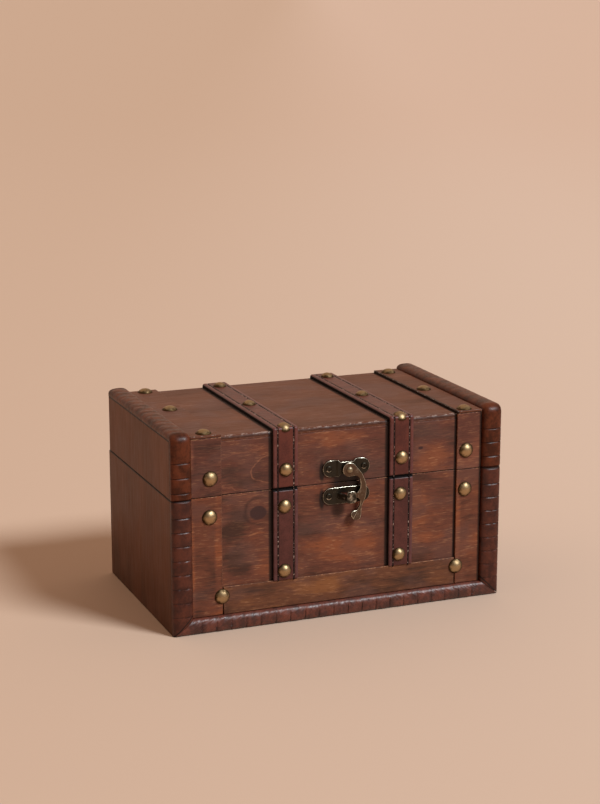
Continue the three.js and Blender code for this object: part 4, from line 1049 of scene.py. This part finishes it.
def strap_section(width, thick, count=61):
    """Half-round folded edges, a nearly flat face and a groove along each row of stitches."""
    made = []
    for across in np.linspace(0, width, count):
        edge = min(1.0, min(across, width - across) / EDGE_ROUND)
        height = thick * (EDGE_SHARE + (1 - EDGE_SHARE) * math.sqrt(max(0.0, 1 - (1 - edge) ** 2)))
        row = abs(abs(across - width / 2) - STITCH_ROW)
        height -= STITCH_GROOVE * math.exp(-((row / (GROOVE_WIDTH / 2)) ** 2))
        made.append((across / width, height / thick))
    return [(0, 0), *made, (1, 0), (0.5, 0), (0, 0)]


def strap_paths(side):
    """Stations in Y and Z of the strap's piece on the box and of its piece over the lid."""
    low, high = box(f"body_{side}_strap")
    lid_low, lid_high = box(f"lid_{side}_strap")
    face, crest, crown = high[1], low[1], lid_high[2]
    on_box = straight((face, low[2]), (crest, low[2]), (face, high[2]), (crest, high[2]), 0.5)
    back, rear = BACK_Y, lid_high[1]
    front_centre = (crest + STRAP_BEND, crown - STRAP_BEND)
    rear_centre = (rear - STRAP_BEND, crown - STRAP_BEND)
    on_lid = straight((face, LID_Z), (crest, LID_Z),
                      (face, front_centre[1] - 0.3), (crest, front_centre[1] - 0.3), 0.5)
    on_lid += round_corner((face, TOP_Z), STRAP_SEAT, front_centre, STRAP_BEND, (-1, 0), (0, 1), 12)
    on_lid += straight((front_centre[0] + 2, TOP_Z), (front_centre[0] + 2, crown),
                       (rear_centre[0] - 2, TOP_Z), (rear_centre[0] - 2, crown), 0.5)
    on_lid += round_corner((back, TOP_Z), STRAP_SEAT, rear_centre, STRAP_BEND, (0, 1), (1, 0), 12)
    under_bend, hem = rear_centre[1] - 1.4, LID_Z + REAR_HEM
    on_lid += straight((back, under_bend), (rear, under_bend), (back, hem), (rear, hem), 0.5)
    return on_box, on_lid


seams = {"box": [], "lid": []}
for side in ("left", "right"):
    on_box, on_lid = strap_paths(side)
    low, high = box(f"body_{side}_strap")
    width, thick = high[0] - low[0], high[1] - low[1]
    for body, stations, node in (("box", on_box, f"body_{side}_strap"), ("lid", on_lid, f"lid_{side}_strap")):
        parting = SEAM_Z - low[2] if body == "box" else 0
        piece = closed_band(node + "_folded", in_depth(stations, low[0]), strap_section(width, thick),
                            (width, 0, 0), leathers[body], unevenness=0.25, seed=20 + len(seams[body]),
                            cuts=[rounded_end(parting, STRAP_END_ROUND, STRAP_END_DEPTH)], crease_angle=60)
        stands_for(piece, [node])
        for row in (-STITCH_ROW, STITCH_ROW):
            x = (low[0] + high[0]) / 2 + row
            sunk = [(x, *(back + (crest - back) * (1 - STITCH_SINK))) for back, crest in stations]
            seams[body].append(sunk)
print("straps: 4, rows of stitches:", sum(len(rows) for rows in seams.values()))


# %% Geometry Nodes: stitches along a line
def stitch_tree():
    """Capsules at a steady pitch along every line of the mesh."""
    inputs = (("Lines", "Geometry"), ("Stitch", "Object"), ("Pitch", "Float"), ("Material", "Material"))
    tree, given = new_tree("Stitches along a line", inputs, "Stitches")
    curve = add(tree, "GeometryNodeMeshToCurve", {"Mesh": given["Lines"]}, "Curve")
    spots = add(tree, "GeometryNodeCurveToPoints", {"Curve": curve, "Length": given["Pitch"]},
                mode="LENGTH").outputs
    stitch = add(tree, "GeometryNodeObjectInfo", {"Object": given["Stitch"]}, "Geometry")
    wobble = add(tree, "FunctionNodeRandomValue",
                 {"Min": (0.9, 0.9, 0.86), "Max": (1.1, 1.1, 1.1), "Seed": 5}, "Value",
                 data_type="FLOAT_VECTOR")
    made = add(tree, "GeometryNodeInstanceOnPoints",
               {"Points": spots["Points"], "Instance": stitch, "Rotation": spots["Rotation"],
                "Scale": wobble}, "Instances")
    return end_tree(tree, made, given["Material"], "Stitches")


def capsule(name, radius, length, sides=8, rings=6):
    """A capsule that points along Z, in millimetres."""
    shape = bmesh.new()
    bmesh.ops.create_uvsphere(shape, u_segments=sides, v_segments=rings, radius=radius * MM)
    for vertex in shape.verts:
        if abs(vertex.co.z) > 1e-7:
            vertex.co.z += math.copysign((length / 2 - radius) * MM, vertex.co.z)
    mesh = bpy.data.meshes.new(name)
    shape.to_mesh(mesh)
    shape.free()
    return placed(name, mesh)


STITCH_PITCH, STITCH_RADIUS, STITCH_LENGTH = 2.6, 0.32, 1.9
STITCHES = stitch_tree()
for body, rows in seams.items():
    edges, first = [], 0
    for row in rows:
        edges += [(first + i, first + i + 1) for i in range(len(row) - 1)]
        first += len(row)
    lines = mesh_from(body + "_stitching", [point for row in rows for point in row], edges=edges)
    piece = placed(body + "_stitching", lines)
    stitch = capsule("stitch", STITCH_RADIUS, STITCH_LENGTH)
    run_tree(piece, STITCHES, {"Stitch": stitch, "Pitch": STITCH_PITCH * MM, "Material": thread})
    bpy.data.objects.remove(stitch)
    piece.data.shade_smooth()
    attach(piece, body)
    print(body, "stitching faces:", len(piece.data.polygons))


# %% [markdown]
# ## Dome-headed nails
#
# Twenty-four pressed brass domes, toned dark and rubbed bright on top. They could be 24 copies placed by
# hand. Here each is the same small turned shape on a point that says where it sits, which way it faces and
# how wide it is, and the tree gives every dome its own dents.

# %% Antique brass
CLOUD, PITTING, TOP_SHADE_FACTOR = 2.2, 0.8, 0.75


def antique_metal(name, bright, dark, rough, tarnish, polish_rub=0.6, shaded_above=1000):
    """Toned metal: bright where it is rubbed (the worn attribute), dark and rougher where tone stays.

    Above the given height, less of it is bright: painted shade for the nails on the lid's top.
    """
    material, tree, shader = new_material(name)
    real = millimetres(tree)
    cloud = noisy(tree, real, (CLOUD, CLOUD, CLOUD), 4.0, 0.62)
    worn = add(tree, "attribute", attribute_name="worn")
    shine = weighed(tree, (worn, polish_rub), (cloud, 1.0))
    # Painted shade on the nails on top
    height = add(tree, "ShaderNodeSeparateXYZ", {"Vector": real}, "Z")
    top_shade = add(tree, "between", [height, shaded_above, shaded_above + 2, 1.0, TOP_SHADE_FACTOR])
    clean = add(tree, "MULTIPLY", [add(tree, "between", [shine, tarnish, tarnish + 0.45]), top_shade])
    uneven = add(tree, "between", [clean, 0.0, 1.0, rough + 0.14, rough])
    tone = layered(tree, dark, (clean, bright))
    dress(tree, shader, {"Base Color": tone, "Roughness": uneven}, {"Metallic": 1.0},
          relief=(noisy(tree, real, (PITTING, PITTING, PITTING), 3.0, 0.6), 0.4, 0.12))
    return material


brass = antique_metal("antique_brass_nail", "b59871", "4e3b25", rough=0.44, tarnish=0.55, shaded_above=114)
bronze = antique_metal("toned_bronze_latch", "ece2cc", "3d3830", rough=0.3, tarnish=0.62, polish_rub=0.7)
hook_bronze = antique_metal("toned_bronze_hook", "e6dcc4", "665141", rough=0.34, tarnish=0.62, polish_rub=0.7)
rivet_bronze = antique_metal("toned_bronze_rivet", "e6dcc4", "9c8b72", rough=0.3, tarnish=0.6, polish_rub=0.7)
print("materials so far:", len(bpy.data.materials))


# %% Geometry Nodes: nails on points
# Noise cells in each metre, which makes the dents about 3 mm across
DENT_SCALE = 330.0


def nail_tree():
    """A nail on every point, turned and sized by the point's attributes, with its own small dents."""
    inputs = (("Places", "Geometry"), ("Nail", "Object"), ("Dents", "Float"), ("Material", "Material"))
    tree, given = new_tree("Nails on points", inputs, "Nails")
    turn, size = add(tree, "stored", ["turn"]), add(tree, "stored", ["size"])
    nail = add(tree, "GeometryNodeObjectInfo", {"Object": given["Nail"]}, "Geometry")
    rotation = add(tree, "FunctionNodeEulerToRotation", {"Euler": turn}, "Rotation")
    made = add(tree, "GeometryNodeInstanceOnPoints",
               {"Points": given["Places"], "Instance": nail, "Rotation": rotation, "Scale": size},
               "Instances")
    made = add(tree, "GeometryNodeRealizeInstances", {"Geometry": made}, "Geometry")
    position = add(tree, "GeometryNodeInputPosition", out="Position")
    dent = add(tree, "ShaderNodeTexNoise", {"Vector": position, "Scale": DENT_SCALE, "Detail": 1.0}, "Color")
    dent = add(tree, "VECTOR_SUBTRACT", [dent, (0.5, 0.5, 0.5)])
    worn = add(tree, "stored", ["worn"], data_type="FLOAT")
    dent = add(tree, "VECTOR_SCALE", [add(tree, "VECTOR_SCALE", [dent, given["Dents"]]), worn])
    made = add(tree, "GeometryNodeSetPosition", {"Geometry": made, "Offset": dent}, "Geometry")
    return end_tree(tree, made, given["Material"], "Nails")


def turned_object(name, profile, sides=28):
    """A closed shape turned about Z from rings of (radius, height, worn), which starts and ends on the axis."""
    points, faces, wear = [], [], []
    for radius, height, worn in profile:
        for side in range(sides):
            angle = 2 * math.pi * side / sides
            points.append((radius * math.cos(angle), radius * math.sin(angle), height))
            wear.append(worn)
    for ring in range(len(profile) - 1):
        for side in range(sides):
            a, b = ring * sides + side, ring * sides + (side + 1) % sides
            faces.append((a, b, b + sides, a + sides))
    mesh = mesh_from(name, points, faces)
    give(mesh, "worn", wear)
    mend(mesh, merge=0.001)
    return placed(name, mesh)


# %% Nails
NAIL_RADIUS, NAIL_RIM, NAIL_DENTS = 4.6, 0.3, 0.35
low, high = box("lid_left_slat_top_nail_1")
NAIL_HEIGHT = high[2] - low[2]
dome = NAIL_HEIGHT - NAIL_RIM
sphere = (NAIL_RADIUS ** 2 + dome ** 2) / (2 * dome)
edge = math.asin(NAIL_RADIUS / sphere)
nail_profile = [(0.0, 0.0, 0.0), (NAIL_RADIUS, 0.0, 0.0), (NAIL_RADIUS, NAIL_RIM * 0.6, 0.0)]
nail_profile += [(sphere * math.sin(edge * t) * (1 if t < 1 else 0.985),
                  NAIL_HEIGHT - sphere * (1 - math.cos(edge * t)), 1 - t ** 2) for t in np.linspace(1, 0, 11)]
# The front nail on each strap's top sits on the bend: tilted forwards, lower and nearer
BEND_TILT, BEND_NEARER, BEND_LOWER = math.radians(24), 0.6, 0.9
NAILS = nail_tree()
nail_nodes = sorted(node for node in BODY_OF if "_nail" in node)
for body in ("box", "lid"):
    nodes = [node for node in nail_nodes if BODY_OF[node] == body]
    places, turns, sizes = [], [], []
    for node in nodes:
        low, high = box(node)
        middle, size = (low + high) / 2, high - low
        on_top = size[2] < size[0] - 0.5
        places.append((middle[0], middle[1], low[2]) if on_top else (middle[0], high[1], middle[2]))
        turns.append((0, 0, 0) if on_top else (math.pi / 2, 0, 0))
        sizes.append((size[0] / 2 / NAIL_RADIUS,) * 2 + (1,))
        if on_top and "strap_top_nail_1" in node:
            places[-1] = (middle[0], middle[1] - BEND_NEARER, low[2] - BEND_LOWER)
            turns[-1] = (BEND_TILT, 0, 0)
    mesh = mesh_from(body + "_nails", places)
    give(mesh, "turn", turns)
    give(mesh, "size", sizes)
    piece = placed(body + "_nails", mesh)
    nail = turned_object("nail", nail_profile)
    run_tree(piece, NAILS, {"Nail": nail, "Dents": NAIL_DENTS * MM, "Material": brass})
    bpy.data.objects.remove(nail)
    piece.data.shade_smooth()
    piece.data.set_sharp_from_angle(angle=math.radians(50))
    stands_for(piece, nodes)
    print(body, "nails:", len(nodes))


# %% [markdown]
# ## Latch and hinges
#
# The latch and the hinges are pressed and cast metal, toned nearly black and rubbed bright along their
# edges. They could be modelled again, but their solids have the true shapes, so each is a copy with rounded
# rims. The rims that face forwards are marked worn, and the metal is bright there. Edges round the screws
# and at the bend of the hook's tab stay as they are, because a bevel there would fold over itself.

# %% Latch and hinges
SCREW_SPACING, SCREW_ROOM = 22.4, 3.6
TAB_SHARE, TAB_HEIGHT, TAB_ROOM = 0.55, 2.3, 2.4
LATCH = {"latch_plate": (0.22, bronze), "latch_rivet": (0.35, rivet_bronze),
         "latch_horn": (0.36, hook_bronze), "catch_plate": (0.18, bronze)}
# The kept spots also get a painted glint on their lower faces, through eased
for node, (width, metal) in LATCH.items():
    low, high = box(node)
    middle = (low + high) / 2
    screws = (-1, 1) if "plate" in node else ()
    kept = [(middle[0] + hand * SCREW_SPACING / 2, middle[2], SCREW_ROOM) for hand in screws]
    if node == "latch_horn":
        kept = [(low[0] + TAB_SHARE * (high[0] - low[0]), low[2] + TAB_HEIGHT, TAB_ROOM)]
    piece = eased(node, width, metal, least_edge=0.2, front=True, keep_off=kept)
    stands_for(piece, [node])
    print(node, "faces:", len(piece.data.polygons))
for side in ("left", "right"):
    for part in ("body_leaf", "lid_leaf", "pin"):
        node = f"{side}_hinge_{part}"
        stands_for(eased(node, 0.12, bronze, least_edge=1.0, segments=2), [node])
print("hinges: 2, each with two leaves and a pin")


# %% [markdown]
#
# The finish may not change the chest's size. The box round the solids was kept at the start, and it is
# written down beside the box round the finished pieces, so that the two can be compared.

# %% Size and finish
VISUAL_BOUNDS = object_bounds()
sizes = {
    "cad": [list(corner) for corner in CAD_BOUNDS],
    "visual": [list(corner) for corner in VISUAL_BOUNDS],
}
print("sizes:", sizes)
